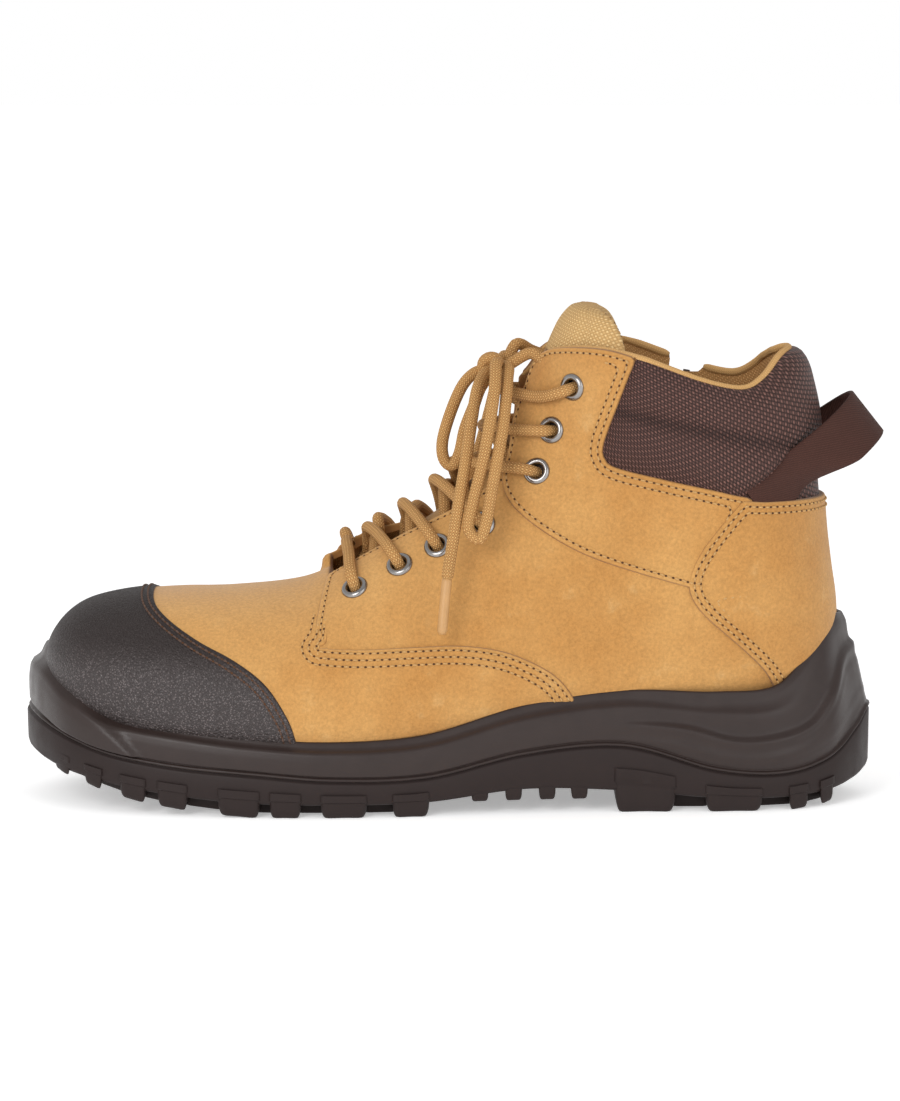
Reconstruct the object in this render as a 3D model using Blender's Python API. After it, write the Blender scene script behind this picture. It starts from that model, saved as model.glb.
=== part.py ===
"""A left safety boot with a side zip: outsole, midsole, hollow upper, panels, tongue, laces and zip.

Tables are in millimetres. X runs from the toe tip (0) to the heel, -Y is the outer side, Z is up
from the floor. The finished parts are moved so that the origin is below the middle of the boot.
"""

import math
from collections import namedtuple

import bmesh
import bpy
import numpy as np
from mathutils import Matrix, Vector
from mathutils.bvhtree import BVHTree

MM = 0.001
MIDDLE_X = 154.81         # middle of the boot's length, toe tip to pull loop
MIDDLE_Y = -1.125         # middle of the sole's width
GAP = 0.3                 # clearance between pieces that touch in the real boot
RIM_CLEAR = 1.2           # panels end this far above the midsole's rim

WALL = 2.4                # leather and lining of the upper
PANEL = 1.3               # thickness of an overlaid panel
RAISED_PANEL = 1.9        # thickness of a panel that laps over its neighbour
CUFF_PAD = 4.2            # how far the padded cuff stands off the wall
LACE_RADIUS = 2.3
LACE_POINTS = 4           # points along one crossing
LACE_SINK = 1.6           # how much nearer the wall a lace runs over the tongue
EYELET_HOLE = 2.3
EYELET_RIM = 4.6
EYELET_BARREL = 2.75
EYELET_SIDES = 8
HOLE_SIDES = 6            # corners of a hole in the wall, covered by its eyelet's flange
TAG_WIDTH = 18.7          # webbing of the pull loop
TAG_THICK = 1.6
INSOLE = 4.5
LASTING_EDGE = 4.0        # the upper's lower edge above the footbed

RING_POINTS = 16          # points round one section of the last
RINGS = 23                # sections along the last
STATIONS = 24             # stations along the sole

# Sections of the last, toe tip to above the collar. Each lies in a plane through its top and low
# points and is a pair of superellipses either side of its widest line. Lead is how much of a
# growth goes forward instead, round the toe.
LastRow = namedtuple(
    "LastRow", "top_x top_z low_x low_z lateral medial ridge widest low_power top_power lead"
)
LAST = [
    LastRow(7.5, 50.0, 8.5, 38.0, 2.0, 9.0, 4.0, 0.50, 2.0, 2.0, 1.0),
    LastRow(9.5, 58.5, 10.0, 34.0, 15.5, 24.0, 4.5, 0.42, 2.6, 2.2, 0.85),
    LastRow(15.0, 66.0, 16.0, 31.5, 26.5, 32.0, 4.0, 0.38, 3.0, 2.3, 0.5),
    LastRow(25.0, 71.2, 26.0, 29.0, 35.5, 38.0, 3.5, 0.36, 3.4, 2.4, 0.2),
    LastRow(45.0, 74.7, 46.0, 24.5, 43.6, 43.4, 2.5, 0.34, 3.6, 2.35, 0.08),
    LastRow(75.0, 76.0, 76.0, 20.8, 47.8, 46.2, 1.0, 0.32, 3.8, 2.15, 0.0),
    LastRow(105.0, 80.8, 108.0, 18.8, 48.8, 46.0, 0.0, 0.30, 3.8, 2.0, 0.0),
    LastRow(129.0, 95.5, 142.0, 20.0, 45.6, 41.0, -1.0, 0.28, 3.6, 1.9, 0.0),
    LastRow(151.0, 111.5, 186.0, 28.2, 39.6, 34.5, -1.0, 0.30, 3.4, 1.9, 0.0),
    LastRow(166.0, 127.5, 232.0, 30.5, 35.8, 32.8, 0.0, 0.33, 3.2, 1.95, 0.0),
    LastRow(174.0, 140.0, 267.0, 30.5, 34.0, 32.0, 0.0, 0.36, 2.8, 2.0, 0.0),
    LastRow(178.5, 149.0, 286.5, 41.0, 33.6, 32.0, 0.0, 0.40, 2.4, 2.05, 0.0),
    LastRow(182.0, 157.0, 290.5, 66.0, 34.6, 33.4, 0.0, 0.44, 2.2, 2.1, 0.0),
    LastRow(185.0, 164.0, 287.0, 96.0, 36.2, 35.4, 0.0, 0.48, 2.1, 2.1, 0.0),
    LastRow(188.0, 171.0, 283.5, 130.0, 37.0, 36.2, 0.0, 0.50, 2.1, 2.1, 0.0),
    LastRow(192.0, 184.0, 273.0, 172.0, 36.0, 35.2, 0.0, 0.50, 2.1, 2.1, 0.0),
]

# Stations of the sole, toe tip to heel: outline, top rim, moulding line between the two shots,
# underside between lugs, foot of the lugs, and how far the wall leans in at the rim.
SoleRow = namedtuple("SoleRow", "x lateral medial rim line tread foot lean")
SOLE = [
    SoleRow(0.0, 1.0, 8.0, 54.5, 33.0, 19.0, 17.0, 4.4),
    SoleRow(2.0, -8.5, 17.0, 54.5, 32.0, 17.6, 15.5, 4.4),
    SoleRow(7.0, -20.0, 26.0, 52.5, 30.0, 15.8, 13.5, 4.2),
    SoleRow(17.0, -32.5, 36.0, 44.5, 26.0, 13.2, 10.5, 3.8),
    SoleRow(32.0, -41.8, 43.6, 35.3, 21.5, 10.4, 7.2, 3.9),
    SoleRow(55.0, -48.3, 48.6, 31.4, 18.0, 7.2, 3.2, 3.0),
    SoleRow(82.0, -51.8, 50.2, 28.0, 15.8, 5.0, 0.6, 2.8),
    SoleRow(112.0, -52.5, 49.4, 26.4, 13.6, 4.5, 0.0, 2.8),
    SoleRow(145.0, -49.0, 44.0, 28.6, 14.4, 5.0, 0.0, 2.8),
    SoleRow(180.0, -43.4, 37.4, 38.3, 22.0, 8.8, 7.6, 2.8),
    SoleRow(215.0, -39.6, 35.6, 43.0, 24.2, 7.6, 0.0, 2.8),
    SoleRow(248.0, -39.0, 36.6, 42.4, 15.4, 4.8, 0.0, 3.0),
    SoleRow(272.0, -36.0, 34.4, 44.6, 13.8, 4.6, 0.3, 4.0),
    SoleRow(289.0, -27.0, 26.4, 59.5, 18.0, 5.6, 2.0, 6.5),
    SoleRow(299.0, -16.0, 15.8, 66.5, 26.5, 8.2, 5.5, 8.0),
    SoleRow(303.8, -6.5, 6.5, 66.5, 32.5, 10.6, 8.5, 8.0),
    SoleRow(305.0, -1.5, 1.5, 66.5, 33.5, 11.4, 9.5, 8.0),
]

# Side wall of the midsole from the moulding line (0) to the rim (1): share of the lean, and a rib.
WallRow = namedtuple("WallRow", "height lean rib")
MIDSOLE_WALL = [
    WallRow(0.00, 0.00, -0.4),
    WallRow(0.05, 0.00, 0.0),
    WallRow(0.13, 0.00, 0.0),
    WallRow(0.18, 0.02, -0.8),
    WallRow(0.50, 0.14, -0.5),
    WallRow(0.80, 0.46, -0.4),
    WallRow(0.94, 0.80, -0.4),
    WallRow(1.00, 1.20, -0.7),
]

# Blocks along each edge of the tread: where each starts and ends along the boot, and how far in.
LugRow = namedtuple("LugRow", "start end depth rise")
EDGE_LUGS = [
    LugRow(10.5, 17.0, 11.0, 0.42),
    LugRow(22.0, 29.0, 13.0, 0.42),
    LugRow(35.0, 45.0, 16.0, 0.42),
    LugRow(48.5, 60.0, 18.0, 0.44),
    LugRow(70.0, 86.0, 18.0, 0.44),
    LugRow(88.5, 100.5, 18.0, 0.44),
    LugRow(106.5, 124.0, 19.0, 0.42),
    LugRow(132.0, 146.0, 18.0, 0.42),
    LugRow(160.5, 166.5, 12.0, 0.2),
    LugRow(172.5, 178.5, 12.0, 0.2),
    LugRow(184.5, 190.5, 12.0, 0.2),
    LugRow(196.0, 202.0, 12.0, 0.2),
    LugRow(211.0, 234.0, 20.0, 0.5),
    LugRow(243.5, 265.0, 19.0, 0.42),
    LugRow(274.0, 281.5, 15.0, 0.42),
    LugRow(285.5, 291.0, 12.0, 0.38),
]
CENTRE_LUG_STARTS = (34.0, 58.0, 82.0, 106.0, 130.0, 222.0, 250.0)
CENTRE_LUG_LENGTH = 15.0
CENTRE_LUG_HALF = 13.0
CHEVRON = 7.0             # how far a centre lug's middle runs ahead of its ends
FLOOR_TRIM = 0.5          # feet of lugs lower than this are level with the floor
ARCH_START, ARCH_END = 150.0, 208.0
ARCH_FOOT = 4.8           # foot of the small cleats under the arch

# Panel edges in the side view, as few points as their curves need: (x, z).
CAP_EDGE = [(99.0, 26.0), (95.0, 36.5), (87.5, 47.2), (76.5, 55.0), (63.0, 61.6), (51.5, 68.6),
            (46.0, 74.0), (45.0, 80.0)]
QUARTER_FRONT = [(114.0, 88.0), (108.5, 79.5), (105.6, 69.0), (104.2, 59.6)]
WING_SEAM = [(104.2, 59.2), (120.0, 58.8), (140.0, 59.8), (157.0, 60.2), (172.0, 58.0),
             (185.0, 52.6), (193.0, 46.6), (198.5, 39.0)]
ANKLE_EDGE = [(160.0, 133.0), (172.0, 115.8), (178.0, 106.6), (187.0, 98.8), (201.0, 91.4),
              (219.0, 85.4), (242.0, 79.0)]
COUNTER_EDGE = [(256.0, 111.6), (249.0, 103.0), (241.0, 91.4), (237.6, 81.0), (242.0, 71.5),
                (257.0, 57.8), (266.0, 48.0), (269.5, 40.0)]
CUFF_FRONT = [(220.5, 165.0), (214.0, 148.5), (208.6, 133.0), (207.6, 127.6)]
CUFF_FOOT = [(211.0, 123.4), (229.0, 119.2), (245.0, 115.8), (258.0, 112.6), (270.0, 111.4),
             (300.0, 110.4)]
COLLAR_LINE = [(170.0, 150.0), (182.0, 155.0), (187.0, 161.6), (194.0, 164.6), (207.0, 165.0),
               (219.0, 162.2), (240.0, 154.6), (252.0, 151.4), (259.0, 151.4), (265.0, 155.2),
               (271.0, 161.6), (276.5, 163.0), (283.0, 160.0), (300.0, 152.0)]

# Throat, vamp to above the collar: at each height, how far back its floor is and half its width.
ThroatRow = namedtuple("ThroatRow", "height back half")
THROAT_FRONT = 109.5
THROAT = [
    ThroatRow(62.0, 109.6, 12.0),
    ThroatRow(80.0, 128.0, 12.0),
    ThroatRow(95.0, 152.0, 14.0),
    ThroatRow(108.0, 164.5, 17.0),
    ThroatRow(118.0, 174.1, 18.5),
    ThroatRow(127.0, 181.0, 17.5),
    ThroatRow(139.0, 187.6, 13.5),
    ThroatRow(150.0, 193.8, 11.0),
    ThroatRow(168.0, 204.0, 10.5),
    ThroatRow(210.0, 205.0, 10.5),
]
COUNTER_TOP = 110.6

EYELETS = [(119.2, 78.5), (135.1, 86.8), (148.6, 93.6), (164.5, 101.4), (184.3, 120.1),
           (189.8, 134.9), (197.4, 151.0)]
UPPER_EYELETS_FROM = 4    # eyelets from this index on are in the ankle panel

# Tongue, lower end to top: its place along the last's rows, half width, thickness, and how far its
# outer face lies below the last's surface.
TongueRow = namedtuple("TongueRow", "station half thick depth")
TONGUE = [
    TongueRow(6.1, 18.0, 2.0, 3.9),
    TongueRow(7.0, 20.0, 2.2, 4.3),
    TongueRow(8.0, 22.0, 2.8, 4.2),
    TongueRow(9.0, 23.0, 3.6, 4.2),
    TongueRow(10.0, 24.0, 5.0, 4.3),
    TongueRow(11.5, 25.5, 7.5, 4.2),
    TongueRow(13.0, 26.0, 9.0, 4.2),
    TongueRow(13.8, 25.0, 9.4, 5.4),
    TongueRow(14.4, 21.5, 8.4, 7.6),
    TongueRow(14.8, 15.5, 6.0, 11.0),
    TongueRow(14.95, 9.0, 3.0, 14.0),
]
TONGUE_ACROSS = 6
TONGUE_ROWS = 15          # rows of points along the tongue

# Zip on the inner side: the slit's middle line in the side view, and its parts.
ZIP_TOP = (240.5, 160.0)
ZIP_FOOT = (223.0, 58.0)
ZIP_SLOT_HALF = 6.0
ZIP_CHAIN_HALF = 3.0      # raised row of teeth
SLIDER_DROP = 18.0        # slider below the top of the slit, along it
SLIDER_LENGTH, SLIDER_WIDTH, SLIDER_THICK = 10.0, 8.0, 2.6
BRIDGE_WIDTH, BRIDGE_BAR = 1.8, 1.3
BRIDGE_LENGTH, BRIDGE_RISE = 8.4, 3.6
PULL_LENGTH, PULL_WIDTH, PULL_THICK = 26.0, 7.0, 1.4
PULL_BAR, PULL_RAIL, PULL_WINDOW = 1.4, 1.6, 6.4

# Pull loop: middle line of the webbing from the outer side round the back (mirrored for the rest),
# and the direction of its width in the side view.
TAG_HALF_PATH = [(269.0, -38.6, 113.8), (280.0, -36.4, 121.6), (292.0, -27.5, 130.4),
                 (300.2, -14.5, 137.0), (303.2, 0.0, 139.6)]
TAG_WIDTH_DIRECTION = (0.62, 0.0, -0.785)

# Bow: hand-placed routes of the lace's free lengths.
KNOT = (167.8, -2.0, 156.2)
KNOT_RADII = (5.6, 7.4, 5.0)
LOOP_NEAR = [(170.0, -11.0, 158.2), (169.2, -18.0, 157.8), (168.8, -25.0, 151.0),
             (167.2, -31.5, 140.0), (164.6, -36.5, 126.0), (161.2, -39.4, 112.0),
             (159.4, -41.8, 102.4), (163.2, -43.0, 98.8), (166.6, -42.2, 104.4),
             (168.8, -40.0, 115.5), (171.0, -36.4, 126.5), (172.8, -31.4, 137.0),
             (173.8, -25.2, 147.0), (174.2, -18.4, 153.4), (174.6, -12.4, 155.6)]
LOOP_FRONT = [(161.0, -3.4, 153.4), (157.0, -4.4, 148.8), (153.0, -5.4, 139.6),
              (150.2, -6.4, 129.8), (150.6, -7.4, 123.4), (153.6, -8.8, 121.0),
              (156.2, -10.4, 125.6), (158.2, -11.2, 134.6), (161.6, -11.2, 143.4),
              (163.6, -10.6, 148.8)]
END_NEAR = [(164.4, -11.0, 153.0), (162.4, -17.6, 148.6), (160.6, -24.6, 139.0),
            (158.6, -31.6, 126.0), (156.0, -38.0, 111.0), (153.6, -42.8, 96.0),
            (151.6, -47.2, 83.0), (150.0, -50.0, 65.6)]
END_FAR = [(172.6, 6.6, 158.6), (172.2, 13.4, 158.0), (170.6, 21.0, 151.6),
           (167.6, 28.6, 138.0), (163.0, 35.4, 120.0), (158.0, 40.0, 103.0),
           (154.6, 43.6, 90.0), (152.6, 46.2, 79.0)]

COLOURS = {
    "wheat": ((0.60, 0.35, 0.12), 0.85, 0.0),
    "sole": ((0.035, 0.026, 0.024), 0.55, 0.0),
    "cap": ((0.028, 0.020, 0.018), 0.50, 0.0),
    "cuff": ((0.045, 0.022, 0.018), 0.90, 0.0),
    "webbing": ((0.050, 0.022, 0.016), 0.80, 0.0),
    "textile": ((0.62, 0.40, 0.17), 0.90, 0.0),
    "lace": ((0.52, 0.30, 0.11), 0.80, 0.0),
    "steel": ((0.62, 0.60, 0.57), 0.30, 1.0),
    "tape": ((0.30, 0.16, 0.07), 0.85, 0.0),
}


# Small helpers

def clear_scene():
    for obj in list(bpy.data.objects):
        bpy.data.objects.remove(obj)


def finished(obj, finish):
    """Gives an object a material of its own, with the colour, roughness and metal of a finish."""
    colour, roughness, metallic = COLOURS[finish]
    made = bpy.data.materials.new(f"{obj.name}_{finish}")
    made.use_nodes = True
    shader = made.node_tree.nodes["Principled BSDF"]
    shader.inputs["Base Color"].default_value = (*colour, 1.0)
    shader.inputs["Roughness"].default_value = roughness
    shader.inputs["Metallic"].default_value = metallic
    obj.data.materials.append(made)
    return obj


def placed(point):
    """A point of the tables, in millimetres, as a place in the boot's own frame, in metres."""
    return Vector((point[0] - MIDDLE_X, point[1] - MIDDLE_Y, point[2])) * MM


def link(obj, finish=None):
    bpy.context.scene.collection.objects.link(obj)
    return finished(obj, finish) if finish else obj


def solid(name, points, faces, finish=None):
    mesh = bpy.data.meshes.new(name)
    mesh.from_pydata([placed(p) for p in points], [], faces)
    shape = bmesh.new()
    shape.from_mesh(mesh)
    bmesh.ops.recalc_face_normals(shape, faces=shape.faces)
    bmesh.ops.triangulate(shape, faces=[f for f in shape.faces if len(f.verts) > 4])
    shape.to_mesh(mesh)
    shape.free()
    return link(bpy.data.objects.new(name, mesh), finish)


def boolean(obj, tool, operation):
    """Cuts or joins obj by tool, keeps the result as obj's own mesh and removes the tool."""
    step = obj.modifiers.new(operation.lower(), "BOOLEAN")
    step.operation = operation
    step.object = tool
    bpy.context.view_layer.update()
    graph = bpy.context.evaluated_depsgraph_get()
    mesh = bpy.data.meshes.new_from_object(obj.evaluated_get(graph))
    obj.modifiers.clear()
    obj.data = mesh
    bpy.data.objects.remove(tool)
    return obj


def turned_about(obj, point):
    """Moves an object's origin to a point of the tables, where its joint's axis runs."""
    obj.data.transform(Matrix.Translation(-placed(point)))
    obj.location = placed(point)
    return obj


def smooth_shading(obj, angle=35.0):
    obj.data.shade_smooth()
    obj.data.set_sharp_from_angle(angle=math.radians(angle))
    return obj


def spline(values, at):
    """Cubic curve through values at 0, 1, 2, ... read at the places in at."""
    values = np.asarray(values, float)
    at = np.clip(np.asarray(at, float), 0, len(values) - 1)
    slopes = np.gradient(values, axis=0)
    low = np.minimum(at.astype(int), len(values) - 2)
    t = (at - low).reshape((-1,) + (1,) * (values.ndim - 1))
    a, b = values[low], values[low + 1]
    da, db = slopes[low], slopes[low + 1]
    return (a * (1 + 2 * t) * (1 - t) ** 2 + da * t * (1 - t) ** 2
            + b * t * t * (3 - 2 * t) + db * t * t * (t - 1))


def smooth_path(points, per_span=3):
    return [tuple(p) for p in spline(points, np.linspace(0, len(points) - 1,
                                                         (len(points) - 1) * per_span + 1))]


def prism(name, outline, low_y, high_y):
    """A side-view outline run across the boot. low_y and high_y are numbers or functions of z."""
    low = low_y if callable(low_y) else lambda z: low_y
    high = high_y if callable(high_y) else lambda z: high_y
    count = len(outline)
    points = [(x, low(z), z) for x, z in outline] + [(x, high(z), z) for x, z in outline]
    sides = [(i, (i + 1) % count, count + (i + 1) % count, count + i) for i in range(count)]
    return solid(name, points, [tuple(range(count)), tuple(range(2 * count - 1, count - 1, -1)),
                                *sides])


# The last

def last_rows():
    at = np.linspace(0, len(LAST) - 1, RINGS)
    return [LastRow(*row) for row in spline(LAST, at)]


def last_point(row, angle, grow):
    """A point of one section; the angle is 0 at its low point and a half turn at its top."""
    top = Vector((row.top_x, 0, row.top_z))
    low = Vector((row.low_x, 0, row.low_z))
    up = (top - low).normalized()
    height = (top - low).length
    upper = math.cos(angle) < 0
    power = 2 / (row.top_power if upper else row.low_power)
    reach = height * ((1 - row.widest) if upper else row.widest) + grow
    side = row.lateral + row.ridge if math.sin(angle) > 0 else row.medial - row.ridge
    rise = -math.copysign(abs(math.cos(angle)) ** power, math.cos(angle)) * reach
    out = -math.copysign(abs(math.sin(angle)) ** power, math.sin(angle)) * (side + grow)
    point = low + up * (height * row.widest + rise)
    return (point.x - grow * row.lead, row.ridge + out, point.z)


def last_ring(row, grow):
    """Points round one section, from its low point up the outer side, over the top and back."""
    return [last_point(row, 2 * math.pi * k / RING_POINTS, grow) for k in range(RING_POINTS)]


def last_form(name, grow):
    """The closed form of the last, grown by that much on every side."""
    rings = [last_ring(row, grow) for row in last_rows()]
    rings[-1] = [(x, y, z - grow) for x, y, z in rings[-1]]
    points = [p for ring in rings for p in ring]
    faces = []
    for i in range(len(rings) - 1):
        for k in range(RING_POINTS):
            a, b = i * RING_POINTS + k, i * RING_POINTS + (k + 1) % RING_POINTS
            faces.append((a, b, b + RING_POINTS))
            faces.append((a, b + RING_POINTS, a + RING_POINTS))
    last = (len(rings) - 1) * RING_POINTS
    faces += [tuple(range(RING_POINTS)), tuple(range(last, last + RING_POINTS))]
    return solid(name, points, faces)


def surface(grow):
    """A tree of the grown last's faces, in table millimetres, for placing things on it."""
    form = last_form("guide", grow)
    points = [Vector((v.co.x / MM + MIDDLE_X, v.co.y / MM + MIDDLE_Y, v.co.z / MM))
              for v in form.data.vertices]
    tree = BVHTree.FromPolygons(points, [tuple(p.vertices) for p in form.data.polygons])
    bpy.data.objects.remove(form)
    return tree


def on_side(tree, x, z, side):
    """The point and outward normal of the surface at a place of the side view, side -1 is outer."""
    point, normal, _, _ = tree.ray_cast(Vector((x, side * 200.0, z)), Vector((0, -side, 0)))
    return point, normal if normal.y * side > 0 else -normal


# The sole

def sole_rows():
    at = np.linspace(0, len(SOLE) - 1, STATIONS)
    return [SoleRow(*row) for row in spline(SOLE, at)]


def sole_at(x, column):
    """A column of the sole's table at a place along the boot."""
    rows = sole_rows()
    return float(np.interp(x, [r.x for r in rows], [getattr(r, column) for r in rows]))


def sole_outline(inset_of):
    """The sole's outline round both sides, toe first down the outer side, moved in along its normal."""
    rows = sole_rows()
    loop = [(r.x, r.lateral, r) for r in rows] + [(r.x, r.medial, r) for r in reversed(rows)]
    count = len(loop)
    moved = []
    for i, (x, y, row) in enumerate(loop):
        before, after = loop[i - 1], loop[(i + 1) % count]
        along = Vector((after[0] - before[0], after[1] - before[1])).normalized()
        inward = Vector((-along.y, along.x))
        inset = inset_of(row)
        moved.append((x + inward.x * inset, y + inward.y * inset, row))
    return moved


def rim_path(start, end, lift):
    """The midsole's rim in the side view, raised by lift, for panels that stop on it."""
    rim = MIDSOLE_WALL[-1]
    loop = sole_outline(lambda row: row.lean * rim.lean - rim.rib)
    side = loop[:len(loop) // 2]
    steps = max(2, int(abs(end - start) / 9))
    return [(x, float(np.interp(x, [p[0] for p in side], [p[2].rim for p in side])) + lift)
            for x in np.linspace(start, end, steps + 1)]


def above_rim(path):
    """The part of a panel's edge that is clear of the midsole."""
    return [(x, z) for x, z in path if z > rim_path(x, x, RIM_CLEAR)[0][1]]


def sole_body(name, levels, finish):
    """A ladder-topped body: each level is (inset of a row, height of a row)."""
    loops = [[(x, y, height(row)) for x, y, row in sole_outline(inset)] for inset, height in levels]
    count = len(loops[0])
    half = count // 2
    points = [p for loop in loops for p in loop]
    faces = []
    for level in range(len(loops) - 1):
        for i in range(count):
            a, b = level * count + i, level * count + (i + 1) % count
            faces.append((a, b, b + count, a + count))
    for base in (0, (len(loops) - 1) * count):
        for i in range(half - 1):
            a, b = base + i, base + i + 1
            faces.append((a, b, base + count - 2 - i, base + count - 1 - i))
    return solid(name, points, faces, finish)


def wall_level(wall):
    return (lambda row: row.lean * wall.lean - wall.rib,
            lambda row: row.line + GAP / 2 + (row.rim - row.line) * wall.height)


def make_midsole():
    body = sole_body("midsole", [wall_level(wall) for wall in MIDSOLE_WALL], "sole")
    boolean(body, last_form("cavity", GAP), "DIFFERENCE")
    return smooth_shading(body)


def lug_points(corners, top_of, foot_of, taper):
    """A block from its plan corners, tapering in towards its foot."""
    centre = np.mean(corners, axis=0)
    foot = [centre + (np.array(c) - centre) * taper for c in corners]
    return ([(x, y, foot_of(x)) for x, y in foot] + [(x, y, top_of(x)) for x, y in corners])


def lug_foot(x):
    """Height of a lug's foot: level on the floor under the ball and the heel."""
    return max(0.0, sole_at(x, "foot") - FLOOR_TRIM)


def make_lugs():
    points, faces = [], []

    def add(block):
        base, count = len(points), len(block) // 2
        points.extend(block)
        faces.append(tuple(base + i for i in range(count)))
        faces.append(tuple(base + count + i for i in range(count)))
        for i in range(count):
            j = (i + 1) % count
            faces.append((base + i, base + j, base + count + j, base + count + i))

    for lug in EDGE_LUGS:
        arch = ARCH_START < lug.start < ARCH_END
        proud = -0.6 if arch else 0.7

        def top(x, rise=lug.rise):
            tread, line = sole_at(x, "tread"), sole_at(x, "line")
            return tread + (line - tread) * rise

        def foot(x, low=arch):
            return ARCH_FOOT if low else lug_foot(x)

        for column, side in (("lateral", -1), ("medial", 1)):
            edge = [(x, sole_at(x, column) + side * proud) for x in (lug.start, lug.end)]
            inner = [(x, side * (abs(y) - lug.depth)) for x, y in reversed(edge)]
            add(lug_points(edge + inner, top, foot, 0.93))
    for start in CENTRE_LUG_STARTS:
        end = start + CENTRE_LUG_LENGTH
        corners = [(start, 0.0), (start + CHEVRON, -CENTRE_LUG_HALF), (end, -CENTRE_LUG_HALF),
                   (end - CHEVRON, 0.0), (end, CENTRE_LUG_HALF), (start + CHEVRON, CENTRE_LUG_HALF)]
        add(lug_points(corners, lambda x: sole_at(x, "tread") + 1.5, lug_foot, 0.92))
    return solid("lugs", points, faces)


def make_outsole():
    levels = [
        (lambda row: 1.6, lambda row: row.tread),
        (lambda row: 0.2, lambda row: row.tread + 1.6),
        (lambda row: 0.0, lambda row: row.line - 1.4),
        (lambda row: -MIDSOLE_WALL[0].rib, lambda row: row.line - GAP / 2),
    ]
    body = sole_body("outsole", levels, "sole")
    boolean(body, make_lugs(), "UNION")
    return smooth_shading(body, 30.0)


# Cutters shared by the upper and its panels

def throat_cutter():
    """The throat as a stack of rectangles, wider or narrower with height."""
    points, faces = [], []
    for row in THROAT:
        points += [(THROAT_FRONT, -row.half, row.height), (row.back, -row.half, row.height),
                   (row.back, row.half, row.height), (THROAT_FRONT, row.half, row.height)]
    for i in range(len(THROAT) - 1):
        for k in range(4):
            a, b = 4 * i + k, 4 * i + (k + 1) % 4
            faces.append((a, b, b + 4, a + 4))
    end = 4 * (len(THROAT) - 1)
    faces += [(3, 2, 1, 0), (end, end + 1, end + 2, end + 3)]
    return solid("throat", points, faces)


def collar_cutter():
    outline = COLLAR_LINE + [(330.0, 152.0), (330.0, 230.0), (170.0, 230.0)]
    return prism("collar", outline, -80.0, 80.0)


def zip_line():
    top, foot = Vector((ZIP_TOP[0], 0, ZIP_TOP[1])), Vector((ZIP_FOOT[0], 0, ZIP_FOOT[1]))
    return top, foot, (foot - top).normalized()


def zip_outline(half, over, under):
    top, foot, down = zip_line()
    across = Vector((-down.z, 0, down.x))
    corners = [top - down * over - across * half, top - down * over + across * half,
               foot + down * under + across * half, foot + down * under - across * half]
    return [(c.x, c.z) for c in corners]


def zip_cutter(half):
    return prism("zip_slot", zip_outline(half, 20.0, 0.0), 5.0, 80.0)


def beside_zip_cutter(half, behind):
    """Clears the inner side up to the slit: all that is behind it, or all that is in front."""
    top, foot, down = zip_line()
    way = 1.0 if behind else -1.0
    across = Vector((-down.z, 0, down.x)) * way
    corners = [top - down * 40.0 - across * half, foot + down * 60.0 - across * half]
    corners += [foot + down * 60.0 + across * 150.0, top - down * 40.0 + across * 150.0]
    return prism("beside_zip", [(c.x, c.z) for c in corners], 5.0, 90.0)


def eyelet_cutters(tree, indices, radius):
    """One joined tool with a rod through each named eyelet on both sides, clear of that radius."""
    shape = bmesh.new()
    corner = radius / math.cos(math.pi / HOLE_SIDES) * MM
    for side in (-1, 1):
        for i in indices:
            point, normal = on_side(tree, *EYELETS[i], side)
            turn = normal.to_track_quat("Z", "Y").to_matrix().to_4x4()
            place = Matrix.Translation(placed(point)) @ turn
            bmesh.ops.create_cone(shape, cap_ends=True, segments=HOLE_SIDES, radius1=corner,
                                  radius2=corner, depth=16 * MM, matrix=place)
    mesh = bpy.data.meshes.new("eyelet_rods")
    shape.to_mesh(mesh)
    shape.free()
    return link(bpy.data.objects.new("eyelet_rods", mesh))


# Upper, panels and lining parts

def footbed(x):
    """Height of the last's underside at a place along the boot."""
    rows = last_rows()
    lows = [(r.low_x, r.low_z) for r in rows if r.low_x < 270 or r.low_z < 32]
    return float(np.interp(x, [p[0] for p in lows], [p[1] for p in lows]))


def footbed_prism(name, low, high):
    xs = np.linspace(0.0, 300.0, 25)
    outline = [(x, footbed(x) + high) for x in xs] + [(x, footbed(x) + low) for x in xs[::-1]]
    return prism(name, outline, -80.0, 80.0)


def make_upper(tree):
    body = finished(last_form("upper", 0.0), "wheat")
    boolean(body, last_form("inside", -WALL), "DIFFERENCE")
    boolean(body, throat_cutter(), "DIFFERENCE")
    boolean(body, footbed_prism("floor", -60.0, LASTING_EDGE), "DIFFERENCE")
    boolean(body, collar_cutter(), "DIFFERENCE")
    boolean(body, zip_cutter(ZIP_SLOT_HALF), "DIFFERENCE")
    boolean(body, eyelet_cutters(tree, range(len(EYELETS)), EYELET_BARREL + GAP), "DIFFERENCE")
    return smooth_shading(body)


def make_insole():
    body = finished(last_form("insole", -WALL - GAP), "textile")
    boolean(body, footbed_prism("slab", GAP, GAP + INSOLE), "INTERSECT")
    return smooth_shading(body)


def panel(name, outline, side, thick, finish, tree=None, eyelets=()):
    """An overlay cut between two grown forms of the last by its outline in the side view."""
    body = finished(last_form(name, GAP + thick), finish)
    low, high = {-1: (-90.0, -6.0), 0: (-90.0, 90.0), 1: (6.0, 90.0)}[side]
    boolean(body, prism("outline", outline, low, high), "INTERSECT")
    boolean(body, last_form("base", GAP), "DIFFERENCE")
    if eyelets:
        boolean(body, throat_cutter(), "DIFFERENCE")
        boolean(body, eyelet_cutters(tree, eyelets, EYELET_BARREL + GAP), "DIFFERENCE")
    return body


def moved(path, dx, dz):
    return [(x + dx, z + dz) for x, z in path]


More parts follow.
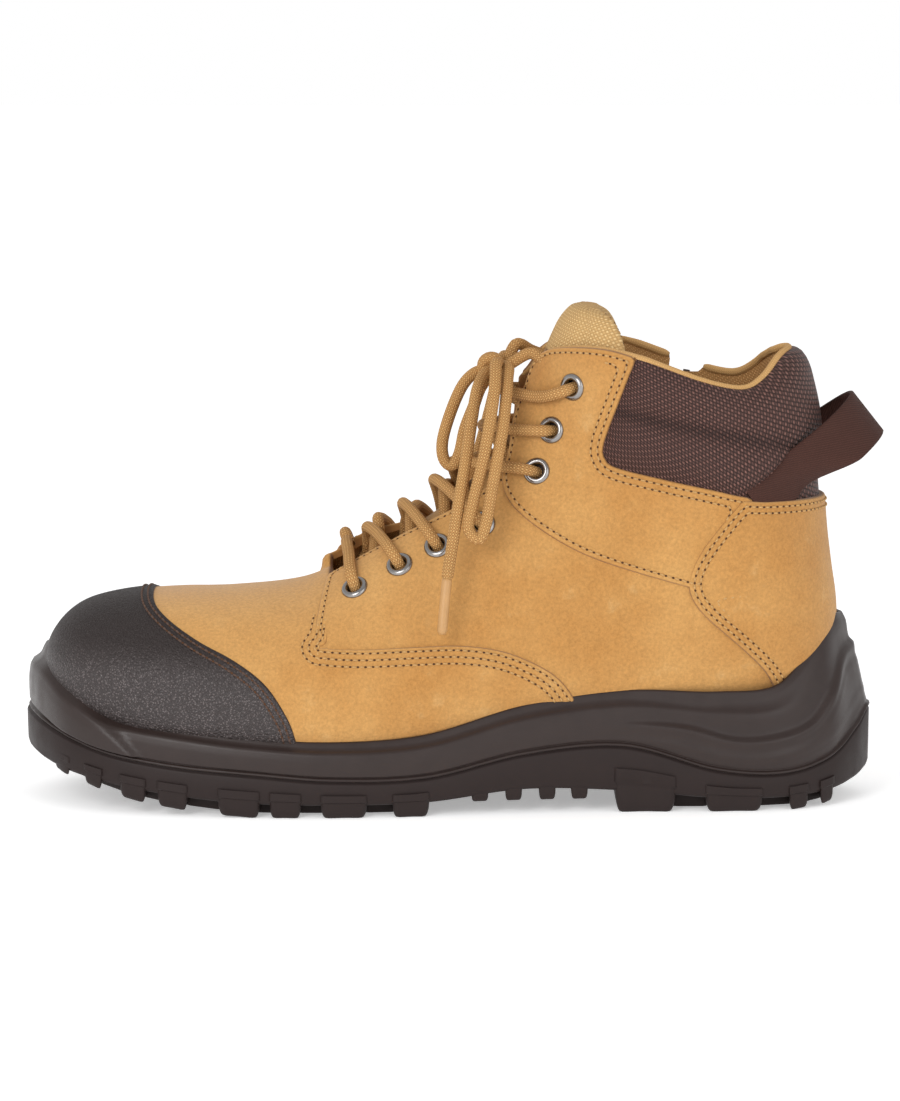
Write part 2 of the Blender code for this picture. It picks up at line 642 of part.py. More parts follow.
def make_toe_cap():
    edge = above_rim(CAP_EDGE)
    outline = edge + [(45.0, 95.0), (-20.0, 95.0)] + rim_path(-20.0, 97.0, RIM_CLEAR)
    return smooth_shading(panel("toe_cap", outline, 0, PANEL + 0.3, "cap"))


def make_quarter(side, name, tree):
    front = QUARTER_FRONT
    seam = WING_SEAM
    edge = [p for p in moved(COUNTER_EDGE, -GAP, 0) if p[1] < 80.0]
    ankle = [p for p in moved(ANKLE_EDGE, -0.2, -GAP) if p[0] < 237.0]
    edge = above_rim(edge)
    rim = rim_path(198.0, edge[-1][0] - 1.0, RIM_CLEAR)
    outline = front + above_rim(seam[1:]) + rim + edge[::-1] + ankle[::-1] + [(140.0, 140.0)]
    body = panel(name, outline, side, PANEL, "wheat", tree, range(UPPER_EYELETS_FROM))
    if side > 0:
        boolean(body, zip_cutter(ZIP_SLOT_HALF + 1.0), "DIFFERENCE")
    return smooth_shading(body)


def make_ankle_panel(side, name, tree, behind_zip=False):
    """The upper side panel. On the inner side the zip parts it into a front and a rear piece."""
    lower = ANKLE_EDGE
    counter = [p for p in moved(COUNTER_EDGE, -GAP, 0) if p[1] > 80.6]
    foot = [p for p in moved(CUFF_FOOT, 0, -GAP) if p[0] < 254.0]
    front = moved(CUFF_FRONT, -GAP, 0)
    lower = [p for p in lower if p[0] < 236.0]
    outline = lower + counter[::-1] + foot[::-1] + front[::-1] + [(221.0, 185.0), (150.0, 185.0)]
    holes = () if behind_zip else range(UPPER_EYELETS_FROM, len(EYELETS))
    body = panel(name, outline, side, RAISED_PANEL, "wheat", tree, holes)
    boolean(body, collar_cutter(), "DIFFERENCE")
    if side > 0:
        boolean(body, beside_zip_cutter(ZIP_SLOT_HALF + 1.0, not behind_zip), "DIFFERENCE")
    return smooth_shading(body)


def make_heel_counter():
    edge = above_rim(COUNTER_EDGE)
    rim = rim_path(edge[-1][0] + 1.0, 302.0, RIM_CLEAR)
    outline = edge + rim + [(330.0, 72.0), (330.0, COUNTER_TOP - 1.4), (262.0, COUNTER_TOP)]
    return smooth_shading(panel("heel_counter", outline, 0, RAISED_PANEL, "wheat"))


def make_cuff(name, behind_zip):
    """The padded collar. The zip parts it into a long piece and a short one in front of the zip."""
    front = CUFF_FRONT
    foot = [p for p in CUFF_FOOT if p[0] < 263.0]
    outline = front + foot + [(270.0, 111.4), (330.0, 110.4), (330.0, 185.0), (226.0, 185.0)]
    body = panel(name, outline, 0 if behind_zip else 1, CUFF_PAD, "cuff")
    boolean(body, collar_cutter(), "DIFFERENCE")
    boolean(body, beside_zip_cutter(ZIP_SLOT_HALF + 1.0, not behind_zip), "DIFFERENCE")
    return smooth_shading(body)


def make_tongue():
    """A pad that follows the last under the throat, thick and rounded at its top."""
    rows = [TongueRow(*r) for r in spline(TONGUE, np.linspace(0, len(TONGUE) - 1, TONGUE_ROWS))]
    outer, inner = [], []
    for row in rows:
        section = LastRow(*spline(LAST, [row.station])[0])
        side = min(section.lateral + section.ridge, section.medial - section.ridge) - row.depth
        turn = math.asin((row.half / side) ** (section.top_power / 2))
        for k in range(TONGUE_ACROSS + 1):
            share = 2 * k / TONGUE_ACROSS - 1
            angle = math.pi + share * turn
            thick = row.thick * (1 - 0.5 * share * share)
            outer.append(last_point(section, angle, -row.depth))
            inner.append(last_point(section, angle, -row.depth - thick))
    width = TONGUE_ACROSS + 1
    total = len(outer)
    faces = []
    for i in range(len(rows) - 1):
        for k in range(TONGUE_ACROSS):
            a = i * width + k
            faces.append((a, a + 1, a + width + 1, a + width))
            faces.append((total + a, total + a + width, total + a + width + 1, total + a + 1))
        for k in (0, TONGUE_ACROSS):
            a = i * width + k
            faces.append((a, a + width, total + a + width, total + a))
    for k in range(TONGUE_ACROSS):
        for base in (0, (len(rows) - 1) * width):
            faces.append((base + k, base + k + 1, total + base + k + 1, total + base + k))
    return smooth_shading(solid("tongue", outer + inner, faces, "textile"), 60.0)


def make_pull_loop():
    """A strip of webbing swept round the back of the heel."""
    half = smooth_path(TAG_HALF_PATH, 2)
    path = half + [(x, -y, z) for x, y, z in reversed(half[:-1])]
    across = Vector(TAG_WIDTH_DIRECTION).normalized() * (TAG_WIDTH / 2)
    points, faces = [], []
    for i, point in enumerate(path):
        before, after = Vector(path[max(0, i - 1)]), Vector(path[min(len(path) - 1, i + 1)])
        out = across.cross(after - before).normalized() * (TAG_THICK / 2)
        middle = Vector(point)
        for corner in (across + out, across - out, -across - out, -across + out):
            points.append(tuple(middle + corner))
    for i in range(len(path) - 1):
        for k in range(4):
            a, b = 4 * i + k, 4 * i + (k + 1) % 4
            faces.append((a, b, b + 4, a + 4))
    end = 4 * (len(path) - 1)
    faces += [(0, 1, 2, 3), (end, end + 1, end + 2, end + 3)]
    return smooth_shading(solid("pull_loop", points, faces, "webbing"))


# Eyelets and lace

def make_eyelet(name, point, normal, lift):
    """A turned metal ring: a rounded flange on the panel and a barrel through the wall."""
    profile = [(EYELET_HOLE, -WALL - 0.2), (EYELET_HOLE, lift + 0.9), (EYELET_RIM, lift + 0.3),
               (EYELET_BARREL, lift), (EYELET_BARREL, -WALL - 0.2)]
    turn = normal.to_track_quat("Z", "Y").to_matrix()
    steps = EYELET_SIDES
    points, faces = [], []
    for k in range(steps):
        angle = 2 * math.pi * k / steps
        for radius, height in profile:
            local = Vector((radius * math.cos(angle), radius * math.sin(angle), height))
            points.append(tuple(point + turn @ local))
    count = len(profile)
    for k in range(steps):
        for j in range(count):
            a, b = k * count + j, k * count + (j + 1) % count
            c, d = ((k + 1) % steps) * count + (j + 1) % count, ((k + 1) % steps) * count + j
            faces.append((a, b, c, d))
    return smooth_shading(solid(name, points, faces, "steel"))


def make_eyelets(tree):
    for side, word in ((-1, "lateral"), (1, "medial")):
        for i, place in enumerate(EYELETS):
            point, normal = on_side(tree, *place, side)
            thick = PANEL if i < UPPER_EYELETS_FROM else RAISED_PANEL
            make_eyelet(f"eyelet_{word}_{i + 1}", point, normal, thick + 3 * GAP)


def tube(name, path, radius, finish=None, sides=5):
    """A round cord along a path, with closed ends."""
    points, faces = [], []
    up = Vector((0, 0, 1))
    for i, place in enumerate(path):
        before, after = Vector(path[max(0, i - 1)]), Vector(path[min(len(path) - 1, i + 1)])
        along = (after - before).normalized()
        first = along.cross(up if abs(along.z) < 0.9 else Vector((1, 0, 0))).normalized()
        second = along.cross(first)
        for k in range(sides):
            angle = 2 * math.pi * k / sides
            points.append(tuple(Vector(place) + (first * math.cos(angle) + second * math.sin(angle))
                                * radius))
    for i in range(len(path) - 1):
        for k in range(sides):
            a, b = i * sides + k, i * sides + (k + 1) % sides
            faces.append((a, b, b + sides, a + sides))
    end = (len(path) - 1) * sides
    faces += [tuple(range(sides)), tuple(range(end, end + sides))]
    return solid(name, points, faces, finish)


def over_throat(tree, start, end, lift):
    """A lace's way from one eyelet to another, above both flanges and lower over the tongue."""
    path = []
    for share in np.linspace(0.0, 1.0, LACE_POINTS):
        chord = start.lerp(end, float(share))
        point, normal, _, _ = tree.find_nearest(chord + Vector((-8.0, 0, 9.0)))
        sink = LACE_SINK * math.sin(math.pi * share) ** 2
        path.append(tuple(point + normal * (lift - sink)))
    return path


def make_laces(tree):
    """The lower bar and the crossings over the throat, joined where they meet."""
    lift = RAISED_PANEL + 0.9 + 4 * GAP + LACE_RADIUS
    left = [on_side(tree, *place, -1)[0] for place in EYELETS]
    right = [on_side(tree, *place, 1)[0] for place in EYELETS]
    lace = tube("lace_crossings", over_throat(tree, left[0], right[0], lift), LACE_RADIUS, "lace")
    for i in range(len(EYELETS) - 1):
        first = over_throat(tree, left[i], right[i + 1], lift)
        second = over_throat(tree, right[i], left[i + 1], lift + 0.7)
        boolean(lace, tube("first", first, LACE_RADIUS), "UNION")
        boolean(lace, tube("second", second, LACE_RADIUS), "UNION")
    return smooth_shading(lace, 60.0)


def make_cord(name, route):
    """A free length of lace as a curve with round section and filled ends."""
    data = bpy.data.curves.new(name, "CURVE")
    data.dimensions = "3D"
    data.bevel_depth = LACE_RADIUS * MM
    data.bevel_resolution = 2
    data.use_fill_caps = True
    line = data.splines.new("POLY")
    line.points.add(len(route) - 1)
    for slot, point in zip(line.points, route):
        slot.co = (*placed(point), 1.0)
    return link(bpy.data.objects.new(name, data), "lace")


def make_knot():
    shape = bmesh.new()
    bmesh.ops.create_icosphere(shape, subdivisions=2, radius=MM)
    bmesh.ops.scale(shape, vec=KNOT_RADII, verts=shape.verts)
    bmesh.ops.translate(shape, vec=placed(KNOT), verts=shape.verts)
    mesh = bpy.data.meshes.new("lace_knot")
    shape.to_mesh(mesh)
    shape.free()
    return smooth_shading(link(bpy.data.objects.new("lace_knot", mesh), "lace"))


# Zip

def make_zip_chain():
    """Tape with a raised row of teeth, filling the slit in the wall."""
    tape = finished(last_form("zip_chain", -0.4), "tape")
    half = ZIP_SLOT_HALF - GAP
    boolean(tape, prism("tape", zip_outline(half, -8.0, -GAP), 6.0, 80.0), "INTERSECT")
    boolean(tape, last_form("under", -1.6), "DIFFERENCE")
    teeth = last_form("teeth", 1.4)
    boolean(teeth, prism("row", zip_outline(ZIP_CHAIN_HALF, -10.0, -3.0), 6.0, 80.0), "INTERSECT")
    boolean(teeth, last_form("under", -1.2), "DIFFERENCE")
    boolean(tape, teeth, "UNION")
    return tape


def zip_frame(tree):
    """Place of the slider on the teeth, with the zip's down, outward and across directions."""
    top, _, down = zip_line()
    at = top + down * SLIDER_DROP
    below = at + down * 12.0
    point, normal = on_side(tree, at.x, at.z, 1)
    lower, _ = on_side(tree, below.x, below.z, 1)
    along = (lower - point).normalized()
    across = along.cross(normal).normalized()
    out = across.cross(along).normalized()
    return point, along, out if out.y > 0 else -out, across


def block(name, frame, boxes, finish):
    """Boxes in the zip's frame joined into one solid. Each is (along, out, across) from low to high."""
    point, along, out, across = frame
    made = None
    for low, high in boxes:
        corners = [point + along * a + out * o + across * c
                   for a in (low[0], high[0]) for o in (low[1], high[1]) for c in (low[2], high[2])]
        faces = [(0, 1, 3, 2), (4, 5, 7, 6), (0, 1, 5, 4), (2, 3, 7, 6), (0, 2, 6, 4), (1, 3, 7, 5)]
        piece = solid("piece" if made else name, corners, faces, None if made else finish)
        made = boolean(made, piece, "UNION") if made else piece
    return made


def make_slider(frame):
    length, width = SLIDER_LENGTH / 2, SLIDER_WIDTH / 2
    rise, bar, side = SLIDER_THICK + BRIDGE_RISE, BRIDGE_BAR, BRIDGE_WIDTH / 2
    reach = BRIDGE_LENGTH / 2
    boxes = [
        ((-length, 2 * GAP, -width), (length, SLIDER_THICK, width)),
        ((-reach, SLIDER_THICK - 0.4, -side), (-reach + bar, rise - 0.2, side)),
        ((reach - bar, SLIDER_THICK - 0.4, -side), (reach, rise - 0.2, side)),
        ((-reach + 0.1, rise - bar, -side + 0.05), (reach - 0.1, rise, side - 0.05)),
    ]
    return block("zip_slider", frame, boxes, "steel")


def make_pull(frame):
    """A flat tab with a window; its top bar turns under the slider's bridge."""
    middle = SLIDER_THICK + (BRIDGE_RISE - BRIDGE_BAR) / 2
    low, high = middle - PULL_THICK / 2, middle + PULL_THICK / 2
    half, bar = PULL_WIDTH / 2, PULL_BAR / 2
    boxes = [
        ((-bar, low, -half), (bar, high, half)),
        ((0.0, low + 0.01, -half + 0.02), (PULL_WINDOW + 1.0, high - 0.01, -half + PULL_RAIL)),
        ((0.0, low + 0.01, half - PULL_RAIL), (PULL_WINDOW + 1.0, high - 0.01, half - 0.02)),
        ((PULL_WINDOW, low, -half), (PULL_LENGTH, high, half)),
    ]
    point, _, out, _ = frame
    return turned_about(block("zip_pull", frame, boxes, "steel"), point + out * middle)


def build():
    clear_scene()
    wall = surface(0.0)
    make_outsole()
    make_midsole()
    make_insole()
    make_upper(wall)
    make_toe_cap()
    for side, word in ((-1, "lateral"), (1, "medial")):
        make_quarter(side, f"quarter_{word}", wall)
        make_ankle_panel(side, f"ankle_panel_{word}", wall)
    make_ankle_panel(1, "ankle_panel_rear", wall, behind_zip=True)
    make_heel_counter()
    make_cuff("cuff", True)
    make_cuff("cuff_front", False)
    make_tongue()
    make_pull_loop()
    make_eyelets(wall)
    make_laces(wall)
    make_knot()
    make_cord("lace_loop_near", LOOP_NEAR)
    make_cord("lace_loop_front", LOOP_FRONT)
    make_cord("lace_end_near", END_NEAR)
    make_cord("lace_end_far", END_FAR)
    make_zip_chain()
    frame = zip_frame(surface(1.4))
    make_slider(frame)
    make_pull(frame)
    boot = bpy.data.objects.new("boot", None)
    for piece in bpy.context.scene.collection.objects:
        piece.parent = boot
    link(boot)


build()
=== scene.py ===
import math

import bpy
import numpy as np
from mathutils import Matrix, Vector
from mathutils.bvhtree import BVHTree
from mathutils.kdtree import KDTree


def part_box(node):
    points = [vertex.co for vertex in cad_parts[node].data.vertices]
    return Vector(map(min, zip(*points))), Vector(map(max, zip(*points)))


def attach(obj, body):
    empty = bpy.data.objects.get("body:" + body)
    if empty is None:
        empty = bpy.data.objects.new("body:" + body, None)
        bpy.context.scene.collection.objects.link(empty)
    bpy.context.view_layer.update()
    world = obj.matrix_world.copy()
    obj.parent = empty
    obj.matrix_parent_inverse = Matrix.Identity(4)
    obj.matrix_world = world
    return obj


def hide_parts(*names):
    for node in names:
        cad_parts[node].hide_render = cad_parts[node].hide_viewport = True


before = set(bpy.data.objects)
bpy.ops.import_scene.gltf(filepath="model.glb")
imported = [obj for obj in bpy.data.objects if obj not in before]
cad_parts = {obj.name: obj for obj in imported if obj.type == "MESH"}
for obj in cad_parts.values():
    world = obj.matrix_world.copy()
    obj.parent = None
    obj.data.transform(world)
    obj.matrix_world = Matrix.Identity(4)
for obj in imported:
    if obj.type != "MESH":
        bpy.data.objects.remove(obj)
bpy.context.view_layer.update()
mm = 0.001
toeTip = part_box("midsole")[0]
origin = np.array((-toeTip[0] / mm, -1.125, 0.0))     # where the frame's origin is, in boot millimetres
print("frame loaded")

# Boot millimetres everywhere below: x back from the toe tip, -y the outer side, z up from the floor.


def metres(points):
    return (np.asarray(points, float) - origin) * mm


def runOf(points):
    # length along a row of points, counted from its first
    return np.concatenate([[0], np.cumsum(np.linalg.norm(np.diff(points, axis=0), axis=1))])


def unit(rows):
    return rows / np.maximum(np.linalg.norm(rows, axis=-1, keepdims=True), 1e-9)


def spokes(first, second, count):
    # ways round a circle, from first towards second
    turn = np.arange(count) * 2 * np.pi / count
    return np.cos(turn)[:, None] * first + np.sin(turn)[:, None] * second


def ringFaces(rings, count, base=0):
    # quads between closed rings of count points, laid one after the other
    pairs = [(base + i * count + k, base + i * count + (k + 1) % count)
             for i in range(rings - 1) for k in range(count)]
    return [(a, b, b + count, a + count) for a, b in pairs]


def treeOf(points):
    tree = KDTree(len(points))
    for i, point in enumerate(points):
        tree.insert(point[:3], i)
    tree.balance()
    return tree


def addObject(name, data):
    item = bpy.data.objects.new(name, data)
    bpy.context.scene.collection.objects.link(item)
    return item


# shader helpers
def addNode(tree, kind, inputs=None, **settings):
    node = tree.nodes.new("ShaderNode" + kind)
    for key, value in settings.items():
        setattr(node, key, value)
    for key, value in (inputs or {}).items():
        if isinstance(value, bpy.types.NodeSocket):
            tree.links.new(value, node.inputs[key])
        else:
            node.inputs[key].default_value = value
    return node


def startFinish(name, **sockets):
    finish = bpy.data.materials.new(name)
    finish.use_nodes = True
    shader = finish.node_tree.nodes["Principled BSDF"]
    for key, value in sockets.items():
        shader.inputs[key].default_value = value
    return finish, finish.node_tree, shader


def sumOf(tree, operation, a, b=0.0):
    return addNode(tree, "Math", {0: a, 1: b}, operation=operation).outputs[0]


def placeMm(tree):
    spot = addNode(tree, "TexCoord").outputs["Object"]
    return addNode(tree, "VectorMath", {0: spot, "Scale": 1000.0}, operation="SCALE").outputs[0]


def noiseOf(tree, place, perMm, detail=3.0, rough=0.55):
    return addNode(tree, "TexNoise", {"Vector": place, "Scale": perMm, "Detail": detail,
                                      "Roughness": rough}).outputs["Fac"]


def rangeOf(tree, value, low, high, toLow=0.0, toHigh=1.0):
    return addNode(tree, "MapRange", {"Value": value, "From Min": low, "From Max": high,
                                      "To Min": toLow, "To Max": toHigh}).outputs[0]


def mixColour(tree, share, first, second, blend="MIX"):
    ends = [end if isinstance(end, bpy.types.NodeSocket) else (*end[:3], 1) for end in (first, second)]
    return addNode(tree, "Mix", {0: share, 6: ends[0], 7: ends[1]}, data_type="RGBA",
                   blend_type=blend).outputs[2]


def valueOf(tree, name):
    return addNode(tree, "Attribute", attribute_name=name).outputs["Fac"]


def upwardOf(tree):
    # how far a face looks up: 1 level, 0 upright
    normal = addNode(tree, "NewGeometry").outputs["Normal"]
    return addNode(tree, "SeparateXYZ", {0: normal}).outputs[2]


def bumpOf(tree, height, depthMm, strength):
    return addNode(tree, "Bump", {"Height": height, "Distance": depthMm * mm,
                                  "Strength": strength}).outputs[0]


# camera, floor and light, in mm
studio = {
    "elevation": 7.5, "distance": 1800.0, "lookAt": (152.85, 0.0, 89.0), "frameWidth": 326.0,
    "floor": (0.97, 0.97, 0.97), "floorGlow": 0.36, "floorRough": 0.9, "floorHalf": 6000.0,
    "seeTo": 20000.0, "world": 1.0, "overhead": 0.55, "dimming": (0.15, 0.9),
    "lamps": {
        "key": {"at": (-330.0, -1000.0, 560.0), "size": 560.0, "power": 6.0},
        "fill": {"at": (900.0, -900.0, 420.0), "size": 700.0, "power": 2.0},
        "top": {"at": (150.0, 60.0, 1000.0), "size": 900.0, "power": 0.5},
    },
}


def setStudio():
    scene = bpy.context.scene
    scene.view_settings.view_transform = "Standard"
    target = Vector(metres(studio["lookAt"]))

    def aim(item, spot):
        item.location = spot
        item.rotation_euler = (target - item.location).to_track_quat("-Z", "Y").to_euler()

    tilt = math.radians(studio["elevation"])
    scene.camera = addObject("camera", bpy.data.cameras.new("camera"))
    lens = scene.camera.data
    lens.sensor_fit = "HORIZONTAL"
    lens.lens = lens.sensor_width * studio["distance"] / studio["frameWidth"]
    lens.clip_end = studio["seeTo"] * mm
    aim(scene.camera, target + Vector((0, -math.cos(tilt), math.sin(tilt))) * studio["distance"] * mm)
    for name, lamp in studio["lamps"].items():
        data = bpy.data.lights.new(name, "AREA")
        data.size = lamp["size"] * mm
        data.energy = lamp["power"]
        aim(addObject(name, data), metres(lamp["at"]))
    scene.world = bpy.data.worlds.new("studioAir")
    scene.world.use_nodes = True
    air = scene.world.node_tree
    rise = addNode(air, "SeparateXYZ", {0: addNode(air, "TexCoord").outputs["Generated"]}).outputs[2]
    dim = rangeOf(air, rise, *studio["dimming"], studio["world"], studio["overhead"])
    air.links.new(dim, air.nodes["Background"].inputs["Strength"])
    air.nodes["Background"].inputs["Color"].default_value = (1, 1, 1, 1)
    paper, _, _ = startFinish("paleFloor", Roughness=studio["floorRough"], **{
        "Base Color": (*studio["floor"], 1), "Emission Color": (1, 1, 1, 1),
        "Emission Strength": studio["floorGlow"]})
    half = studio["floorHalf"] * mm
    mesh = bpy.data.meshes.new("floor")
    mesh.from_pydata([(-half, -half, 0), (half, -half, 0), (half, half, 0), (-half, half, 0)], [],
                     [(0, 1, 2, 3)])
    mesh.materials.append(paper)
    addObject("floor", mesh)


setStudio()
print("studio set")


# the shape that the whole upper is drawn on
# One row a section, toe tip to above the collar: topX topZ lowX lowZ lateral medial ridge widest
# lowPower topPower lead.
lastTable = np.array([
    (7.5, 50.0, 8.5, 38.0, 2.0, 9.0, 4.0, 0.50, 2.0, 2.0, 1.0),
    (9.5, 58.5, 10.0, 34.0, 15.5, 24.0, 4.5, 0.42, 2.6, 2.2, 0.85),
    (15.0, 66.0, 16.0, 31.5, 26.5, 32.0, 4.0, 0.38, 3.0, 2.3, 0.5),
    (25.0, 71.2, 26.0, 29.0, 35.5, 38.0, 3.5, 0.36, 3.4, 2.4, 0.2),
    (45.0, 74.7, 46.0, 24.5, 43.6, 43.4, 2.5, 0.34, 3.6, 2.35, 0.08),
    (75.0, 76.0, 76.0, 20.8, 47.8, 46.2, 1.0, 0.32, 3.8, 2.15, 0.0),
    (105.0, 80.8, 108.0, 18.8, 48.8, 46.0, 0.0, 0.30, 3.8, 2.0, 0.0),
    (129.0, 95.5, 142.0, 20.0, 45.6, 41.0, -1.0, 0.28, 3.6, 1.9, 0.0),
    (151.0, 111.5, 186.0, 28.2, 39.6, 34.5, -1.0, 0.30, 3.4, 1.9, 0.0),
    (166.0, 127.5, 232.0, 30.5, 35.8, 32.8, 0.0, 0.33, 3.2, 1.95, 0.0),
    (174.0, 140.0, 267.0, 30.5, 34.0, 32.0, 0.0, 0.36, 2.8, 2.0, 0.0),
    (178.5, 149.0, 286.5, 41.0, 33.6, 32.0, 0.0, 0.40, 2.4, 2.05, 0.0),
    (182.0, 157.0, 290.5, 66.0, 34.6, 33.4, 0.0, 0.44, 2.2, 2.1, 0.0),
    (185.0, 164.0, 287.0, 96.0, 36.2, 35.4, 0.0, 0.48, 2.1, 2.1, 0.0),
    (188.0, 171.0, 283.5, 130.0, 37.0, 36.2, 0.0, 0.50, 2.1, 2.1, 0.0),
    (192.0, 184.0, 273.0, 172.0, 36.0, 35.2, 0.0, 0.50, 2.1, 2.1, 0.0),
])
wall = 2.4                # leather and lining together


def splineAt(values, at):
    values = np.asarray(values, float)
    at = np.clip(np.asarray(at, float), 0, len(values) - 1)
    slopes = np.gradient(values, axis=0)
    low = np.minimum(at.astype(int), len(values) - 2)
    t = (at - low).reshape((-1,) + (1,) * (values.ndim - 1))
    a, b, da, db = values[low], values[low + 1], slopes[low], slopes[low + 1]
    return (a * (1 + 2 * t) * (1 - t) ** 2 + da * t * (1 - t) ** 2
            + b * t * t * (3 - 2 * t) + db * t * t * (t - 1))


def smoothLine(points, step=1.5):
    points = np.asarray(points, float)
    spread = np.linalg.norm(np.diff(points, axis=0), axis=1).sum()
    return splineAt(points, np.linspace(0, len(points) - 1, max(8, int(spread / step))))


def sectionPoint(rows, angle, grow=0.0):
    # rows (n, 11), angle (n,) or (n, m): 0 at the low point, a half turn at the top
    rows = [column.reshape((-1,) + (1,) * (np.ndim(angle) - 1)) for column in rows.T]
    topX, topZ, lowX, lowZ, lateral, medial, ridge, widest, lowPower, topPower, lead = rows
    height = np.hypot(topX - lowX, topZ - lowZ)
    upX, upZ = (topX - lowX) / height, (topZ - lowZ) / height
    upper = np.cos(angle) < 0
    power = 2 / np.where(upper, topPower, lowPower)
    reach = height * np.where(upper, 1 - widest, widest) + grow
    side = np.where(np.sin(angle) > 0, lateral + ridge, medial - ridge) + grow
    rise = -np.sign(np.cos(angle)) * np.abs(np.cos(angle)) ** power * reach + height * widest
    out = -np.sign(np.sin(angle)) * np.abs(np.sin(angle)) ** power * side
    return np.stack([lowX + upX * rise - grow * lead, ridge + out, lowZ + upZ * rise], -1)


def easeStep(value, low, high):
    t = np.clip((value - low) / (high - low), 0, 1)
    return t * t * (3 - 2 * t)


# the inner side's edge stands open at its top and at its foot
flap = {"open": 4.5, "rise": (136.0, 158.0), "inner": (2.0, 8.0), "outer": (28.0, 14.0), "lift": 0.35,
        "foot": 4.6, "footFront": (105.5, 109.0), "footBack": (150.0, 124.0), "footRise": (66.0, 76.0),
        "footInner": (6.0, 11.0), "footOuter": (30.0, 17.0), "footForward": 0.4}


def openFlap(grid):
    x, y, z = np.moveaxis(grid, -1, 0)
    top = (flap["open"] * easeStep(z, *flap["rise"]) * easeStep(y, *flap["inner"])
           * easeStep(y, *flap["outer"]))
    foot = (flap["foot"] * easeStep(x, *flap["footFront"]) * easeStep(x, *flap["footBack"])
            * easeStep(z, *flap["footRise"]) * easeStep(y, *flap["footInner"])
            * easeStep(y, *flap["footOuter"]))
    grid[..., 0] -= top + flap["footForward"] * foot
    grid[..., 2] += top * flap["lift"] + foot


skinSet = {"rows": 520, "round": 720, "fineRows": 900, "fineRound": 2881, "smoothings": 6}


def buildSkin():
    # a fine lookup of the last: even steps from toe to collar (s) and round each section (v)
    at = np.linspace(0, len(lastTable) - 1, skinSet["fineRows"])
    angle = np.tile(np.linspace(0, 2 * np.pi, skinSet["fineRound"]), (len(at), 1))
    even = np.empty((len(at), skinSet["round"], 3))
    girth = np.empty(len(at))
    for i, ring in enumerate(sectionPoint(splineAt(lastTable, at), angle)):
        run = runOf(ring)
        girth[i] = run[-1]
        want = np.arange(skinSet["round"]) / skinSet["round"] * run[-1]
        even[i] = np.stack([np.interp(want, run, ring[:, k]) for k in range(3)], 1)
    run = np.concatenate([[0], np.cumsum(np.linalg.norm(np.diff(even, axis=0), axis=2).mean(1))])
    steps = np.linspace(0, run[-1], skinSet["rows"])
    want = np.interp(steps, run, np.arange(len(at)))
    low = np.minimum(want.astype(int), len(at) - 2)
    t = (want - low)[:, None, None]
    grid = even[low] * (1 - t) + even[low + 1] * t
    for _ in range(skinSet["smoothings"]):              # takes the table's slight corners off
        grid[1:-1] = 0.5 * grid[1:-1] + 0.25 * (grid[:-2] + grid[2:])
    openFlap(grid)
    normal = unit(np.cross(np.gradient(grid, axis=0), np.roll(grid, -1, 1) - np.roll(grid, 1, 1)))
    return grid, normal, run[-1], girth.mean(), np.interp(steps, run, at)


skin, skinNormal, skinLength, skinGirth, skinRow = buildSkin()


def rowToS(row):
    return float(np.interp(row, skinRow, np.linspace(0, 1, len(skinRow))))


def onSkin(s, v, height=0.0):
    # places and normals on the last, bilinear in its lookup
    i = np.clip(np.asarray(s, float), 0, 1) * (skin.shape[0] - 1)
    j = np.mod(np.asarray(v, float), 1.0) * skin.shape[1]
    i0 = np.minimum(i.astype(int), skin.shape[0] - 2)
    j0 = j.astype(int) % skin.shape[1]
    j1 = (j0 + 1) % skin.shape[1]
    a, b = (i - i0)[:, None], (j - np.floor(j))[:, None]

    def mix(table):
        return ((table[i0, j0] * (1 - b) + table[i0, j1] * b) * (1 - a)
                + (table[i0 + 1, j0] * (1 - b) + table[i0 + 1, j1] * b) * a)

    normal = unit(mix(skinNormal))
    return mix(skin) + normal * np.reshape(height, (-1, 1)), normal


print("last ready, girth", round(skinGirth), "mm")


# cutting pieces out of the skin
def layPatch(sLow, sHigh, vLow, vHigh, step):
    sCount = max(2, int((sHigh - sLow) * skinLength / step)) + 1
    vCount = max(2, int((vHigh - vLow) * skinGirth / step)) + 1
    s, v = np.meshgrid(np.linspace(sLow, sHigh, sCount), np.linspace(vLow, vHigh, vCount), indexing="ij")
    corner = (np.arange(sCount - 1)[:, None] * vCount + np.arange(vCount - 1)).ravel()
    a, b, c, d = corner, corner + vCount, corner + vCount + 1, corner + 1
    tri = np.concatenate([np.stack([a, b, c], 1), np.stack([a, c, d], 1)])
    return np.stack([s.ravel(), v.ravel()], 1), tri


def crossings(data, tri, column, level):
    # where a value passes a level: the corners of each crossed triangle and the new points on its sides
    value = data[:, column] - level
    value[np.abs(value) < 1e-6] = 1e-6
    above = value > 0
    mixed = above[tri].any(1) & ~above[tri].all(1)
    part = tri[mixed]
    up = above[part]
    lone = np.where(up.sum(1) == 1, up.argmax(1), (~up).argmax(1))
    rows = np.arange(len(part))
    a, b, c = (part[rows, (lone + k) % 3] for k in range(3))
    pairs = np.sort(np.concatenate([np.stack([a, b], 1), np.stack([a, c], 1)]), 1)
    sides, where = np.unique(pairs, axis=0, return_inverse=True)
    where = where.reshape(-1)
    share = (value[sides[:, 0]] / (value[sides[:, 0]] - value[sides[:, 1]]))[:, None]
    fresh = data[sides[:, 0]] * (1 - share) + data[sides[:, 1]] * share
    fresh[:, column] = level
    return mixed, (a, b, c), fresh, where[:len(part)], where[len(part):]


